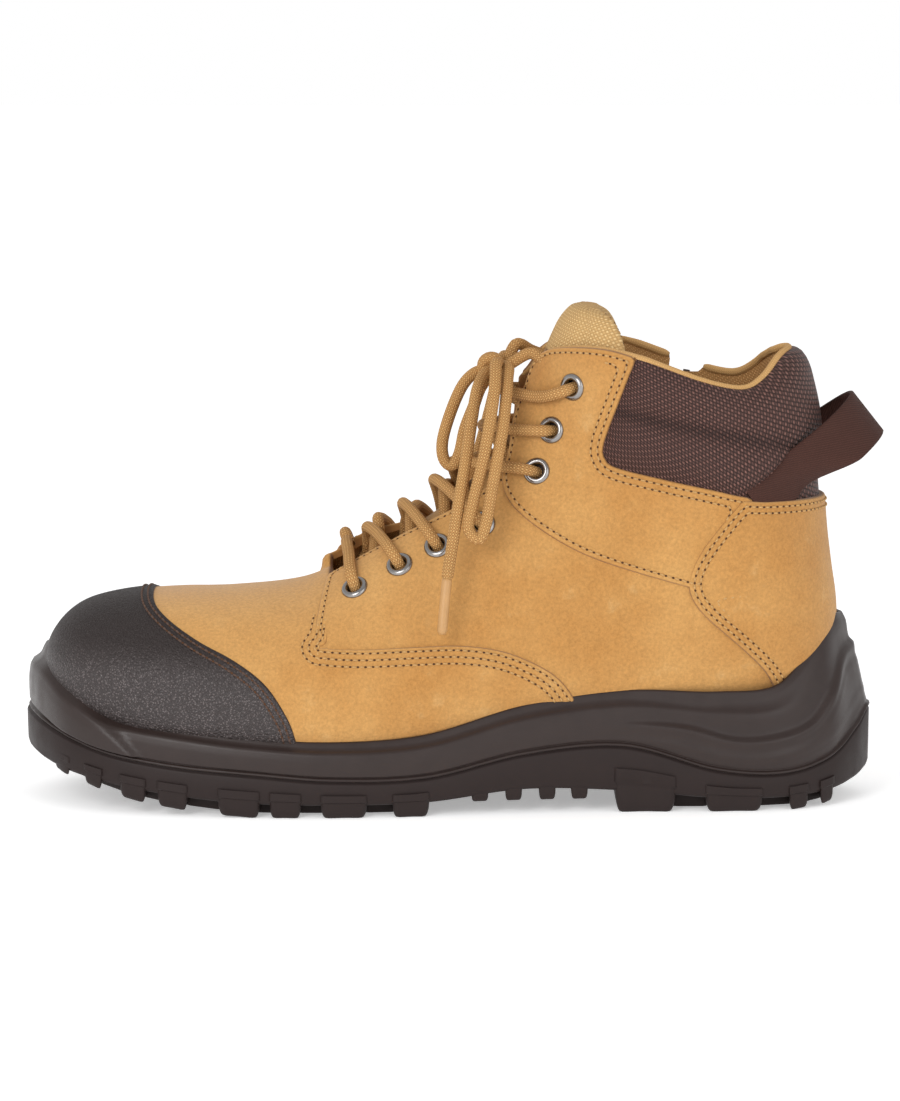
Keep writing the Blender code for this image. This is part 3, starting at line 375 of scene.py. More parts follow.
def splitAt(data, tri, column, level):
    mixed, (a, b, c), fresh, ab, ac = crossings(data, tri, column, level)
    ab, ac = ab + len(data), ac + len(data)
    cut = [np.stack(corners, 1) for corners in ((a, ab, ac), (ab, b, c), (ab, c, ac))]
    return np.concatenate([data, fresh]), np.concatenate([tri[~mixed], *cut])


def keepAbove(data, tri, column, level):
    data, tri = splitAt(data, tri, column, level)
    tri = tri[data[tri, column].mean(1) > level + 1e-9]
    used, tri = np.unique(tri, return_inverse=True)
    return data[used], tri.reshape(-1, 3)


def traceLines(data, tri, column, level):
    # the level line as a few long rows of points, in order
    _, _, fresh, ab, ac = crossings(data, tri, column, level)
    near = {}
    for p, q in zip(ab.tolist(), ac.tolist()):
        if p != q:
            near.setdefault(p, []).append(q)
            near.setdefault(q, []).append(p)
    lines, seen = [], set()
    for start in sorted(near, key=lambda p: len(near[p])):
        if start in seen:
            continue
        line, here = [start], start
        seen.add(start)
        while True:
            ahead = [q for q in near[here] if q not in seen]
            if not ahead:
                break
            here = ahead[0]
            seen.add(here)
            line.append(here)
        if len(near[start]) > 1 and start in near[here] and len(line) > 3:
            line.append(start)
        if len(line) > 3:
            lines.append(fresh[line])
    return lines


def evenly(points, step):
    # a row of points at even steps; extra columns are carried along
    run = runOf(points[:, :3])
    want = np.linspace(0, run[-1], max(2, int(round(run[-1] / step)) + 1))
    return np.stack([np.interp(want, run, points[:, k]) for k in range(points.shape[1])], 1)


def toSegment(x, z, start, end):
    # a side-view segment's two steps, and how far each point is from it
    (ax, az), (dx, dz) = start, np.subtract(end, start)
    t = np.clip(((x - ax) * dx + (z - az) * dz) / max(dx * dx + dz * dz, 1e-9), 0, 1)
    return dx, dz, np.hypot(x - ax - t * dx, z - az - t * dz)


def insideOf(outline, x, z):
    # signed distance to a closed side-view outline, positive inside
    outline = np.asarray(outline, float)
    best = np.full(len(x), 1e9)
    inside = np.zeros(len(x), bool)
    for (ax, az), end in zip(outline, np.roll(outline, -1, 0)):
        dx, dz, gap = toSegment(x, z, (ax, az), end)
        best = np.minimum(best, gap)
        if dz:
            inside ^= ((az > z) != (end[1] > z)) & (x < dx * (z - az) / dz + ax)
    return np.where(inside, best, -best)


def sideOf(line, x, z):
    # signed distance from an open side-view line, positive on the left of its direction
    best = np.full(len(x), 1e9)
    sign = np.ones(len(x))
    for (ax, az), end in zip(line[:-1], line[1:]):
        dx, dz, gap = toSegment(x, z, (ax, az), end)
        near = gap < best
        best = np.where(near, gap, best)
        sign = np.where(near, np.sign(dx * (z - az) - dz * (x - ax)), sign)
    return best * sign


def gapTo(line, places):
    # side-view distance from the nearest point of a line
    gap = np.full(len(places), 1e9)
    for x, z in line:
        gap = np.minimum(gap, np.hypot(places[:, 0] - x, places[:, 2] - z))
    return gap


def keptRuns(keep):
    # the unbroken runs of a row that are kept, without the very short ones
    parts = np.split(np.arange(len(keep)), np.where(np.diff(keep.astype(int)))[0] + 1)
    return [part for part in parts if keep[part[0]] and len(part) > 4]


edgeStep = 0.3                              # between the points that an edge is measured from, mm
rimShape = ((0.0, 0.08, 0.25, 0.55, 1.0),   # mm in from a cut edge, and the share of full height there
            (0.0, 0.55, 0.82, 0.95, 1.0))


def rimCurve(distance):
    return np.interp(distance, *rimShape)


def cutPiece(field, reach, step=1.4, rims=rimShape[0][1:]):
    # field(places) is positive inside. Gives rows of s, v, distance in from the edge
    data, tri = layPatch(*reach, step)
    data = np.column_stack([data, field(onSkin(*data.T)[0])])
    edge = [evenly(onSkin(*line.T[:2])[0], edgeStep) for line in traceLines(data, tri, 2, 0.0)]
    data, tri = keepAbove(data, tri, 2, 0.0)
    onEdge = np.abs(data[:, 2]) < 1e-7
    tree = treeOf(np.concatenate(edge))
    data[:, 2] = [tree.find(place)[2] for place in onSkin(*data.T[:2])[0]]
    data[onEdge, 2] = 0.0
    for level in rims:
        data, tri = splitAt(data, tri, 2, level)
    return data, tri


def weaveOf(data):
    # the two directions that a cloth's threads follow, in mm
    return {"warp": data[:, 0] * skinLength, "weft": data[:, 1] * skinGirth}


def slanted(along, around):
    return {"warp": (along + around) / math.sqrt(2), "weft": (along - around) / math.sqrt(2)}


def makeMesh(name, places, faces, finish, nodes=(), values=None, smooth=True):
    mesh = bpy.data.meshes.new(name)
    mesh.from_pydata(metres(places).tolist(), [], faces.tolist() if isinstance(faces, np.ndarray) else faces)
    for key, column in (values or {}).items():          # one value a point, or one a face corner
        domain = "POINT" if len(column) == len(mesh.vertices) else "CORNER"
        mesh.attributes.new(key, "FLOAT", domain).data.foreach_set("value", np.asarray(column, np.float32))
    if smooth:
        mesh.shade_smooth()
    mesh.materials.append(finish)
    piece = addObject(name, mesh)
    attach(piece, "boot")
    if nodes:
        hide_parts(*nodes)
    return piece


# finishes
# nubuck colours; top is a painted lighter tone, mixed in on faces that look up as painted light from above
nubuck = {
    "light": (0.525, 0.284, 0.092), "deep": (0.440, 0.211, 0.057), "pale": (0.60, 0.395, 0.175),
    "top": (0.60, 0.332, 0.112), "paintedToplight": 0.6, "paintedToplightRange": (0.25, 0.95),
    "cutEdge": (0.24, 0.105, 0.028), "edgeRange": (0.1, 0.55), "cloud": 0.022, "cloudRange": (0.36, 0.66),
    "scuff": 0.09, "scuffRange": (0.60, 0.76), "scuffShare": 0.35,
    "nap": 0.9, "napRange": (0.30, 0.72), "napTones": (0.80, 1.17), "fibre": 3.2, "depth": 0.30,
}


def nubuckFinish(name, shade=1.0):
    finish, tree, shader = startFinish(name, Roughness=0.92, **{
        "Sheen Weight": 0.18, "Sheen Roughness": 0.5, "Specular IOR Level": 0.25})
    place = placeMm(tree)
    cloud = rangeOf(tree, noiseOf(tree, place, nubuck["cloud"], 4, 0.6), *nubuck["cloudRange"])
    nap = noiseOf(tree, place, nubuck["nap"], 5, 0.7)
    fibre = noiseOf(tree, place, nubuck["fibre"], 2, 0.6)
    scuff = rangeOf(tree, noiseOf(tree, place, nubuck["scuff"], 5, 0.7), *nubuck["scuffRange"])
    light, deep, pale, top = ([c * shade for c in nubuck[k]] for k in ("light", "deep", "pale", "top"))
    colour = mixColour(tree, cloud, deep, light)
    colour = mixColour(tree, sumOf(tree, "MULTIPLY", scuff, nubuck["scuffShare"]), colour, pale)
    # painted light: faces that look up are mixed towards the lighter top tone, as if lit from above
    paintedToplight = rangeOf(tree, upwardOf(tree), *nubuck["paintedToplightRange"], 0.0, nubuck["paintedToplight"])
    colour = mixColour(tree, paintedToplight, colour, top)
    speck = rangeOf(tree, nap, *nubuck["napRange"], *nubuck["napTones"])
    grey = addNode(tree, "CombineColor", {0: speck, 1: speck, 2: speck}).outputs[0]
    colour = mixColour(tree, 1.0, colour, grey, "MULTIPLY")
    edge = rangeOf(tree, valueOf(tree, "rim"), *nubuck["edgeRange"], 1.0, 0.0)
    tree.links.new(mixColour(tree, edge, colour, nubuck["cutEdge"]), shader.inputs["Base Color"])
    height = sumOf(tree, "ADD", sumOf(tree, "MULTIPLY", nap, 0.6), sumOf(tree, "MULTIPLY", fibre, 0.4))
    tree.links.new(bumpOf(tree, height, nubuck["depth"], 0.8), shader.inputs["Normal"])
    return finish


# side is a painted lighter tone for the sides, where the light falls; speck is the colour of painted
# highlights on the pebbles
coated = {
    "deep": (0.013, 0.0078, 0.0070), "light": (0.021, 0.013, 0.0118), "side": (0.040, 0.0315, 0.0305),
    "paintedSideLightShare": 0.55, "speck": (0.125, 0.102, 0.100), "cutEdge": (0.022, 0.011, 0.008),
    "edgeRange": (0.15, 0.6), "cloud": 0.06, "cells": 1.75, "cellRange": (0.1, 0.75), "pebble": 1.2,
    "pebbleRange": (0.44, 0.10), "topRange": (0.10, 0.65), "topPebbleHighlightShare": 0.15, "rough": (0.26, 0.48),
    "topRough": 0.32, "depth": -0.26,
}


def capFinish(name):
    # rougher and painted darker on top; on the sides a painted lighter tone, painted pebble highlights and
    # lower roughness
    finish, tree, shader = startFinish(name, Roughness=0.5, **{"Specular IOR Level": 0.42})
    place = placeMm(tree)

    def cellsOf(scale, **settings):
        inputs = {"Vector": place, "Scale": scale, "Randomness": 1.0}
        return addNode(tree, "TexVoronoi", inputs, **settings).outputs["Distance"]

    grain = rangeOf(tree, cellsOf(coated["cells"], feature="SMOOTH_F1"), *coated["cellRange"])
    dullShadedTop = rangeOf(tree, upwardOf(tree), *coated["topRange"])
    colour = mixColour(tree, noiseOf(tree, place, coated["cloud"], 3), coated["deep"], coated["light"])
    # painted light: the sides take the lighter side tone, the top stays dark as painted shade
    colour = mixColour(tree, rangeOf(tree, dullShadedTop, 0.0, 1.0, coated["paintedSideLightShare"], 0.0), colour, coated["side"])
    # painted highlights on the pebbles, mostly on the sides and few on top
    speck = sumOf(tree, "MULTIPLY", rangeOf(tree, cellsOf(coated["pebble"]), *coated["pebbleRange"]),
                  rangeOf(tree, dullShadedTop, 0.0, 1.0, 1.0, coated["topPebbleHighlightShare"]))
    colour = mixColour(tree, speck, colour, coated["speck"])
    edge = rangeOf(tree, valueOf(tree, "rim"), *coated["edgeRange"], 1.0, 0.0)
    tree.links.new(mixColour(tree, edge, colour, coated["cutEdge"]), shader.inputs["Base Color"])
    rough = sumOf(tree, "ADD", rangeOf(tree, grain, 0.0, 1.0, *coated["rough"]),
                  sumOf(tree, "MULTIPLY", dullShadedTop, coated["topRough"]))
    tree.links.new(rough, shader.inputs["Roughness"])
    tree.links.new(bumpOf(tree, grain, coated["depth"], 1.0), shader.inputs["Normal"])
    return finish


weave = {"shine": 0.2, "overRange": (-0.9, 0.9), "overShare": 0.6, "threadShare": 0.6,
         "threadRange": (0.26, 1.0), "cloud": 0.12, "cloudRange": (0.3, 0.7), "tintShare": 0.2,
         "strength": 0.9}


def weaveFinish(name, gap, thread, tint, pitch, rough=0.85, depth=0.35):
    # a plain weave on the piece's own two directions, kept as the values warp and weft in mm
    finish, tree, shader = startFinish(name, Roughness=rough, **{"Specular IOR Level": weave["shine"]})
    turn = 2 * math.pi / pitch
    warp, weft = (sumOf(tree, "SINE", sumOf(tree, "MULTIPLY", valueOf(tree, way), turn))
                  for way in ("warp", "weft"))
    over = rangeOf(tree, sumOf(tree, "MULTIPLY", warp, weft), *weave["overRange"])
    threads = sumOf(tree, "MULTIPLY", sumOf(tree, "ABSOLUTE", warp), sumOf(tree, "ABSOLUTE", weft))
    height = sumOf(tree, "ADD", sumOf(tree, "MULTIPLY", over, weave["overShare"]),
                   sumOf(tree, "MULTIPLY", threads, weave["threadShare"]))
    cloud = noiseOf(tree, placeMm(tree), weave["cloud"], 4)
    colour = mixColour(tree, rangeOf(tree, height, *weave["threadRange"]), gap, thread)
    tinted = rangeOf(tree, cloud, *weave["cloudRange"], 0.0, weave["tintShare"])
    colour = mixColour(tree, tinted, colour, tint)
    # painted shade: the weave darkens towards its gap colour along the cuff's fold valley, by a per-point
    # value
    colour = mixColour(tree, valueOf(tree, "paintedFoldShade"), colour, gap)
    tree.links.new(colour, shader.inputs["Base Color"])
    tree.links.new(bumpOf(tree, height, depth, weave["strength"]), shader.inputs["Normal"])
    return finish


plain = {"cloud": 0.15, "darker": 0.82, "lighter": 1.14, "roughRange": (0.3, 0.7), "roughSpread": 0.06,
         "strength": 0.6}


def plainFinish(name, colour, rough, grain=6.0, depth=0.06, metal=0.0, shine=0.5):
    finish, tree, shader = startFinish(name, Metallic=metal, **{"Specular IOR Level": shine})
    place = placeMm(tree)
    cloud = noiseOf(tree, place, plain["cloud"], 4)
    dark, bright = ([c * plain[tone] for c in colour] for tone in ("darker", "lighter"))
    tree.links.new(mixColour(tree, cloud, dark, bright), shader.inputs["Base Color"])
    spread = plain["roughSpread"]
    uneven = rangeOf(tree, cloud, *plain["roughRange"], rough - spread, rough + spread)
    tree.links.new(uneven, shader.inputs["Roughness"])
    fine = noiseOf(tree, place, grain, 2)
    tree.links.new(bumpOf(tree, fine, depth, plain["strength"]), shader.inputs["Normal"])
    return finish


wheat = nubuckFinish("wheatNubuck")
# a darker copy of the wheat nubuck, painted shade for the leather part of the tongue deep in the throat
shadedNubuck = nubuckFinish("throatShadeNubuck", 0.72)
cap = capFinish("coatedToeLeather")
# cloth: colours of the gap, the thread and the tint, then pitch, roughness and depth
cuffCloth = weaveFinish("cuffWeave", (0.006, 0.003, 0.0025), (0.230, 0.116, 0.096), (0.072, 0.035, 0.029),
                        2.3, 0.55, 0.9)
liningCloth = weaveFinish("liningKnit", (0.27, 0.125, 0.041), (0.64, 0.37, 0.150), (0.52, 0.28, 0.105),
                          1.5, 0.95, 0.35)
beadCloth = weaveFinish("beadCloth", (0.46, 0.25, 0.09), (0.66, 0.42, 0.18), (0.60, 0.36, 0.14),
                        1.3, 0.9, 0.2)
tongueCloth = weaveFinish("tongueRib", (0.40, 0.225, 0.080), (0.80, 0.56, 0.27), (0.66, 0.43, 0.19),
                          1.7, 0.9, 0.5)
laceBraid = weaveFinish("laceBraid", (0.29, 0.125, 0.034), (0.80, 0.49, 0.20), (0.64, 0.36, 0.125),
                        1.592, 0.8, 0.6)
webbing = weaveFinish("loopWebbing", (0.030, 0.012, 0.009), (0.105, 0.042, 0.030), (0.076, 0.030, 0.022),
                      0.9, 0.75, 0.2)
insoleCloth = weaveFinish("insoleFelt", (0.035, 0.026, 0.020), (0.11, 0.085, 0.065), (0.085, 0.064, 0.048),
                          1.3, 0.95, 0.2)
zipTape = weaveFinish("zipTape", (0.016, 0.008, 0.006), (0.07, 0.034, 0.025), (0.05, 0.024, 0.018),
                      0.8, 0.85, 0.15)
# the rest: colour, roughness, grain a mm, its depth, metal and shine
soleRubber = plainFinish("moulded", (0.026, 0.0160, 0.0138), 0.36, 7.0, 0.05, 0.0, 0.34)
treadRubber = plainFinish("mouldedTread", (0.022, 0.0140, 0.0128), 0.5, 7.0, 0.05, 0.0, 0.2)
wheatThread = plainFinish("wheatThread", (0.50, 0.29, 0.105), 0.8, 12.0, 0.08)
brownThread = plainFinish("brownThread", (0.085, 0.045, 0.030), 0.7, 12.0, 0.08)
# painted shade: the colour of the flat discs that stand for the needle holes
needleHoleShade = plainFinish("needleHoleShade", (0.075, 0.030, 0.010), 0.95)
nickel = plainFinish("nickel", (0.30, 0.285, 0.275), 0.22, 9.0, 0.01, 1.0)
darkMetal = plainFinish("darkMetal", (0.17, 0.155, 0.145), 0.3, 9.0, 0.01, 1.0)
# painted shade: the colour of the discs that darken the inside of each eyelet hole
eyeletHoleShade = plainFinish("eyeletHoleShade", (0.020, 0.012, 0.008), 0.9)
sealedTip = plainFinish("sealedTip", (0.48, 0.262, 0.098), 0.42, 1.6, 0.22)
print("finishes mixed")


# panel edges in the side view, x and z in mm, as few points as their curves need
seams = {
    "capEdge": [(101.0, 15.0), (98.6, 27.0), (95.0, 36.5), (87.5, 47.2), (76.5, 55.0), (63.0, 61.6),
                (51.5, 68.6), (46.0, 74.0), (44.6, 82.0)],
    "quarterFront": [(115.0, 92.0), (108.5, 79.5), (105.6, 69.0), (104.2, 59.6)],
    "wingSeam": [(103.4, 59.2), (120.0, 58.8), (140.0, 59.8), (157.0, 60.2), (172.0, 58.0),
                 (185.0, 52.6), (193.0, 46.6), (199.5, 37.0)],
    "ankleEdge": [(183.0, 166.0), (180.6, 153.0), (177.6, 142.8), (174.6, 131.0), (172.2, 121.0),
                  (172.2, 113.6), (176.6, 106.6), (187.0, 98.8), (201.0, 91.4),
                  (219.0, 85.4), (246.0, 78.0)],
    "counterEdge": [(256.0, 111.6), (249.0, 103.0), (241.0, 91.4), (237.6, 81.0), (242.0, 71.5),
                    (257.0, 57.8), (266.0, 48.0), (271.0, 36.0)],
    "cuffFront": [(222.0, 170.0), (214.0, 148.5), (208.6, 133.0), (207.6, 127.6)],
    "cuffFoot": [(207.6, 127.6), (211.0, 123.4), (229.0, 119.2), (245.0, 115.8), (258.0, 112.6),
                 (272.0, 110.6)],
    "collar": [(165.0, 146.0), (180.0, 153.0), (187.0, 161.6), (194.0, 164.6), (207.0, 165.0), (219.0, 162.2),
               (240.0, 154.6), (252.0, 151.4), (259.0, 151.4), (265.0, 155.2), (271.0, 161.6), (276.5, 163.0),
               (283.0, 160.0), (310.0, 150.0)],
}
seamLine = {name: smoothLine(points) for name, points in seams.items()}
throatFront = 109.5
# throat, vamp to above the collar: height, how far back its floor is, half its width
throatRows = smoothLine([(62.0, 109.6, 12.0), (80.0, 128.0, 12.0), (95.0, 152.0, 14.0), (108.0, 164.5, 17.0),
                         (118.0, 174.1, 17.0), (127.0, 181.0, 14.0), (139.0, 187.6, 9.0), (150.0, 193.8, 7.8),
                         (168.0, 204.0, 7.8), (210.0, 205.0, 7.8)])
zipSlit = {"top": (240.5, 160.0), "foot": (223.0, 58.0), "half": 6.0}
zipTop, zipFoot = np.array(zipSlit["top"]), np.array(zipSlit["foot"])
zipDown, zipLength = unit(zipFoot - zipTop), np.linalg.norm(zipFoot - zipTop)


def throatField(places):
    x, y, z = places.T
    half = np.interp(z, throatRows[:, 0], throatRows[:, 2])
    floor = np.interp(x, throatRows[:, 1], throatRows[:, 0])
    return np.maximum.reduce([np.abs(y) - half, throatFront - x, floor - z])


def zipField(places, half=zipSlit["half"]):
    off = places[:, ::2] - zipTop
    across = np.abs(off[:, 1] * zipDown[0] - off[:, 0] * zipDown[1])
    gap = np.maximum(across - half, off @ zipDown - zipLength)
    return np.where(places[:, 1] > 0, gap, 50.0)        # only on the inner side


def collarField(places):
    outline = np.concatenate([seamLine["collar"], [(320.0, -20.0), (-30.0, -20.0), (-30.0, 140.0)]])
    return insideOf(outline, places[:, 0], places[:, 2])


def openings(places):
    return np.minimum.reduce([throatField(places), zipField(places), collarField(places)])


def shifted(line, dx, dz):
    return np.asarray(line) + (dx, dz)


def loop(*runs):
    return np.concatenate([np.asarray(run, float).reshape(-1, 2) for run in runs])


outlines = {
    "cap": loop(seamLine["capEdge"], [(44.0, 110.0), (-30.0, 110.0), (-30.0, 10.0), (101.0, 10.0)]),
    "vamp": loop(shifted(seamLine["capEdge"], -6, 0), [(40.0, 115.0), (121.0, 115.0)],
                 shifted(seamLine["quarterFront"], 5, 0), seamLine["wingSeam"], [(200.0, 8.0), (80.0, 8.0)]),
    "quarter": loop(seamLine["quarterFront"], shifted(seamLine["wingSeam"], 0, -6),
                    [(205.0, 8.0), (284.0, 8.0)],
                    shifted(seamLine["counterEdge"], 6, 0)[::-1],
                    shifted(seamLine["ankleEdge"], 2, 5)[::-1], [(130.0, 150.0)]),
    "ankle": loop(seamLine["ankleEdge"], [(262.0, 80.0)], shifted(seamLine["counterEdge"], 6, 0)[40::-1],
                  seamLine["cuffFoot"][:-8][::-1], seamLine["cuffFront"][::-1],
                  [(224.0, 195.0), (140.0, 195.0)]),
    "counter": loop(seamLine["counterEdge"], [(330.0, 20.0), (330.0, 109.4), (264.0, 110.8)]),
    "cuff": loop(shifted(seamLine["cuffFront"], -4, 0), shifted(seamLine["cuffFoot"], -3, -4),
                 [(330.0, 104.0), (330.0, 195.0), (226.0, 195.0)]),
}


def outlineField(name, cuts):
    def field(places):
        inside = insideOf(outlines[name], places[:, 0], places[:, 2])
        return np.minimum(inside, openings(places)) if cuts else inside
    return field


def nearLine(places, name, within):
    return gapTo(seamLine[name], places) < within


sewn = {"wheat": [], "brown": []}        # rows of stitch places with normals, by thread


def layRow(data, tri, distance, heightAt, thread, keep):
    # a row of stitches along the line that is this far in from the piece's edge
    for line in traceLines(data, tri, 2, distance):
        places, normals = onSkin(*line.T[:2])
        lifted = places + normals * heightAt(places, np.full(len(places), distance))[:, None]
        rows = np.column_stack([lifted, normals])
        sewn[thread] += [rows[part] for part in keptRuns(keep(places))]


def makePanel(name, outline, reach, heightAt, finish, nodes, step=1.4, rows=(), extra=None, cuts=True,
              more=None):
    field = outlineField(outline, cuts)
    data, tri = cutPiece((lambda p: np.minimum(field(p), extra(p))) if extra else field, reach, step)
    places, normals = onSkin(*data.T[:2])
    height = heightAt(places, data[:, 2])
    values = {"rim": data[:, 2], **weaveOf(data), **(more(places) if more else {})}
    piece = makeMesh(name, places + normals * height[:, None], tri, finish, nodes, values)
    for distance, thread, keep in rows:
        layRow(data, tri, distance, heightAt, thread, keep)
    return piece


edgeSet = {"within": 1.5, "lap": -0.25}     # free where this near the throat; how deep other edges sit


def edgeDrop(places):
    # a free edge at the throat shows the whole wall; other edges sit on the piece below
    return np.where(throatField(places) < edgeSet["within"], -wall, edgeSet["lap"])


# soft creases, listed one by one: side-view points, depth and width in mm, a ridge where the depth is
# negative
creases = [
    ([(60.0, 70.0), (82.0, 66.5), (104.0, 67.0)], -0.45, 8.0),
    ([(70.0, 61.0), (88.0, 58.0), (99.0, 60.0)], 0.35, 5.0),
    ([(177.0, 117.0), (187.0, 107.0), (202.0, 100.0)], 0.5, 5.5),
    ([(188.0, 112.0), (199.0, 107.0), (212.0, 106.0)], -0.4, 5.0),
    ([(203.0, 49.0), (224.0, 53.0), (248.0, 49.0)], 0.45, 5.5),
    ([(150.0, 80.0), (163.0, 74.0), (180.0, 73.0)], 0.4, 6.5),
    ([(262.0, 86.0), (272.0, 80.0), (284.0, 82.0)], 0.35, 5.0),
    ([(128.0, 40.0), (146.0, 44.0), (166.0, 50.0)], -0.35, 6.5),
]


def creaseAt(places):
    return -sum(depth * np.exp(-(gapTo(smoothLine(points), places) / width) ** 2)
                for points, depth, width in creases)


foreTop = {"lower": 1.2, "from": 50.0, "full": 66.0, "backFrom": 98.0, "backTo": 124.0}


def foreDrop(places):
    # the forefoot lies lower on top, where the leather is drawn tight
    up = easeStep(places[:, 2], foreTop["from"], foreTop["full"])
    return foreTop["lower"] * up * (1 - easeStep(places[:, 0], foreTop["backFrom"], foreTop["backTo"]))


def raised(base, thick):
    def heightAt(places, distance):
        drop = edgeDrop(places)
        full = base(places) + thick + creaseAt(places) - foreDrop(places)
        return drop + (full - drop) * rimCurve(distance)
    return heightAt


def level(value):
    return lambda places: np.full(len(places), value)


def risingTo(name, low, high, width):
    # stands higher near a named seam, where it laps over its neighbour
    return lambda places: low + (high - low) * np.exp(-(gapTo(seamLine[name][::2], places) / width) ** 2)


eyelets = [(119.2, 78.5), (135.1, 86.8), (148.6, 93.6), (164.5, 101.4), (184.3, 120.1), (189.8, 134.9),
           (197.4, 151.0)]
eyeletSet = {"cutRadius": 3.6, "inAnkleFrom": 4, "segments": 28, "wellDepth": -2.3, "wellLap": 0.2,
             "inFromEdge": 9.0,
             "profile": ((2.7, -2.6), (2.7, 0.25), (2.82, 0.7), (3.2, 1.06), (3.75, 1.12), (4.35, 0.86),
                         (4.8, 0.42), (4.95, -0.1), (4.95, -0.5))}


def spotOn(x, z, side):
    # s and v where the last passes a side-view point on one side
    gap = np.hypot(skin[..., 0] - x, skin[..., 2] - z) + np.where(skin[..., 1] * side > 0, 0.0, 1e3)
    i, j = np.unravel_index(gap.argmin(), gap.shape)
    fine = np.linspace(-1, 1, 21)
    s, v = np.meshgrid((i + fine) / (skin.shape[0] - 1), (j + fine) / skin.shape[1], indexing="ij")
    places, _ = onSkin(s.ravel(), v.ravel())
    best = np.hypot(places[:, 0] - x, places[:, 2] - z).argmin()
    return s.ravel()[best], v.ravel()[best]


eyeletSpots = {side: np.array([spotOn(*place, side) for place in eyelets]) for side in (-1, 1)}


def eyeletGap(places):
    # distance from the nearest hole for an eyelet
    middles = np.concatenate([onSkin(*eyeletSpots[side].T)[0] for side in (-1, 1)])
    gaps = [np.linalg.norm(places - middle, axis=1) for middle in middles]
    return np.minimum.reduce(gaps) - eyeletSet["cutRadius"]


# rows of stitches: mm in from the edge, and how near a seam or how clear of an eyelet they are sewn
rowSet = {"wing": (1.7, 4.0, 6.3), "cap": (2.0, 4.2), "counter": (2.0, 4.2), "quarter": 2.2,
          "ankle": 2.0, "cuff": 4.5, "bySeam": 11.0, "byEdge": 9.0, "clear": 2.6, "ankleTo": 262.0,
          "counterFrom": 38.0}
sideFrom = 4.0              # how far off the middle a side panel may begin


def besideSeam(name):
    return lambda places: nearLine(places, name, rowSet["bySeam"])


def frontOrThroat(places):
    near = nearLine(places, "quarterFront", rowSet["byEdge"]) | (throatField(places) < rowSet["byEdge"])
    return near & (eyeletGap(places) > rowSet["clear"])


def alongAnkle(places):
    return (places[:, 0] < rowSet["ankleTo"]) & (eyeletGap(places) > rowSet["clear"])


def byCuff(places):
    return nearLine(places, "cuffFront", rowSet["byEdge"]) | nearLine(places, "cuffFoot", rowSet["byEdge"])


def aboveSole(places):
    return places[:, 2] > rowSet["counterFrom"]


def onSide(side):
    # one side of the boot, with holes for the eyelets
    return lambda places: np.minimum(places[:, 1] * side - sideFrom, eyeletGap(places))


makePanel("vamp", "vamp", (0.01, rowToS(9.4), 0.05, 0.95), raised(risingTo("wingSeam", 0.2, 1.5, 9.0), 0.9),
          wheat, ["upper"], rows=[(d, "wheat", besideSeam("wingSeam")) for d in rowSet["wing"]])
makePanel("toeCap", "cap", (0.0, rowToS(6.7), 0.04, 0.96), raised(level(0.4), 1.5), cap, ["toe_cap"],
          rows=[(d, "brown", besideSeam("capEdge")) for d in rowSet["cap"]], cuts=False)
print("vamp and toe cap cut")

quarterHeight = raised(risingTo("quarterFront", 0.2, 1.2, 9.0), 0.9)
ankleHeight = raised(risingTo("ankleEdge", 0.9, 1.3, 8.0), 1.0)
panelSides = ((-1, "lateral", 0.04, 0.51, []), (1, "medial", 0.49, 0.96, ["ankle_panel_rear"]))
for side, word, vLow, vHigh, rear in panelSides:
    makePanel(word + "Quarter", "quarter", (rowToS(5.6), rowToS(12.4), vLow, vHigh), quarterHeight, wheat,
              ["quarter_" + word], rows=[(rowSet["quarter"], "wheat", frontOrThroat)],
              extra=onSide(side))
    makePanel(word + "AnklePanel", "ankle", (rowToS(6.8), 1.0, vLow, vHigh), ankleHeight, wheat,
              ["ankle_panel_" + word] + rear, extra=onSide(side),
              rows=[(rowSet["ankle"], "wheat", alongAnkle), (rowSet["cuff"], "wheat", byCuff)])
makePanel("heelCounter", "counter", (rowToS(8.2), rowToS(14.6), -0.42, 0.42), raised(level(1.4), 1.1), wheat,
          ["heel_counter"], rows=[(d, "wheat", aboveSole) for d in rowSet["counter"]])
print("side panels cut")

cuffPad = {"edge": 0.9, "pad": 4.6, "roundness": 5.0, "valley": 3.4, "valleyWidth": 5.0, "valleyFloor": 0.7,
           "foldAt": (211.6, 143.2), "foldSlope": -0.217, "foldShade": 0.45, "foldWidth": 2.1,
           "collarRoll": 8.0, "zipRoll": 4.0, "pressed": 0.35, "pressRange": (-2.5, 1.5)}
cuffSeen = loop(seamLine["cuffFront"], seamLine["cuffFoot"], [(330.0, 109.0), (330.0, 195.0), (226.0, 195.0)])
loopFoot = [(254.0, 111.0), (271.0, 125.0), (298.0, 120.0), (282.0, 106.0)]   # where the pull loop lies on it


def aboveFold(places):
    x, z = cuffPad["foldAt"]
    return places[:, 2] - z - cuffPad["foldSlope"] * (places[:, 0] - x)


# painted shade for the fold valley of the cuff padding, as a per-point value for the weave finish
def cuffFoldShade(places):
    return {"paintedFoldShade": cuffPad["foldShade"] * np.exp(-(aboveFold(places) / cuffPad["foldWidth"]) ** 2)}


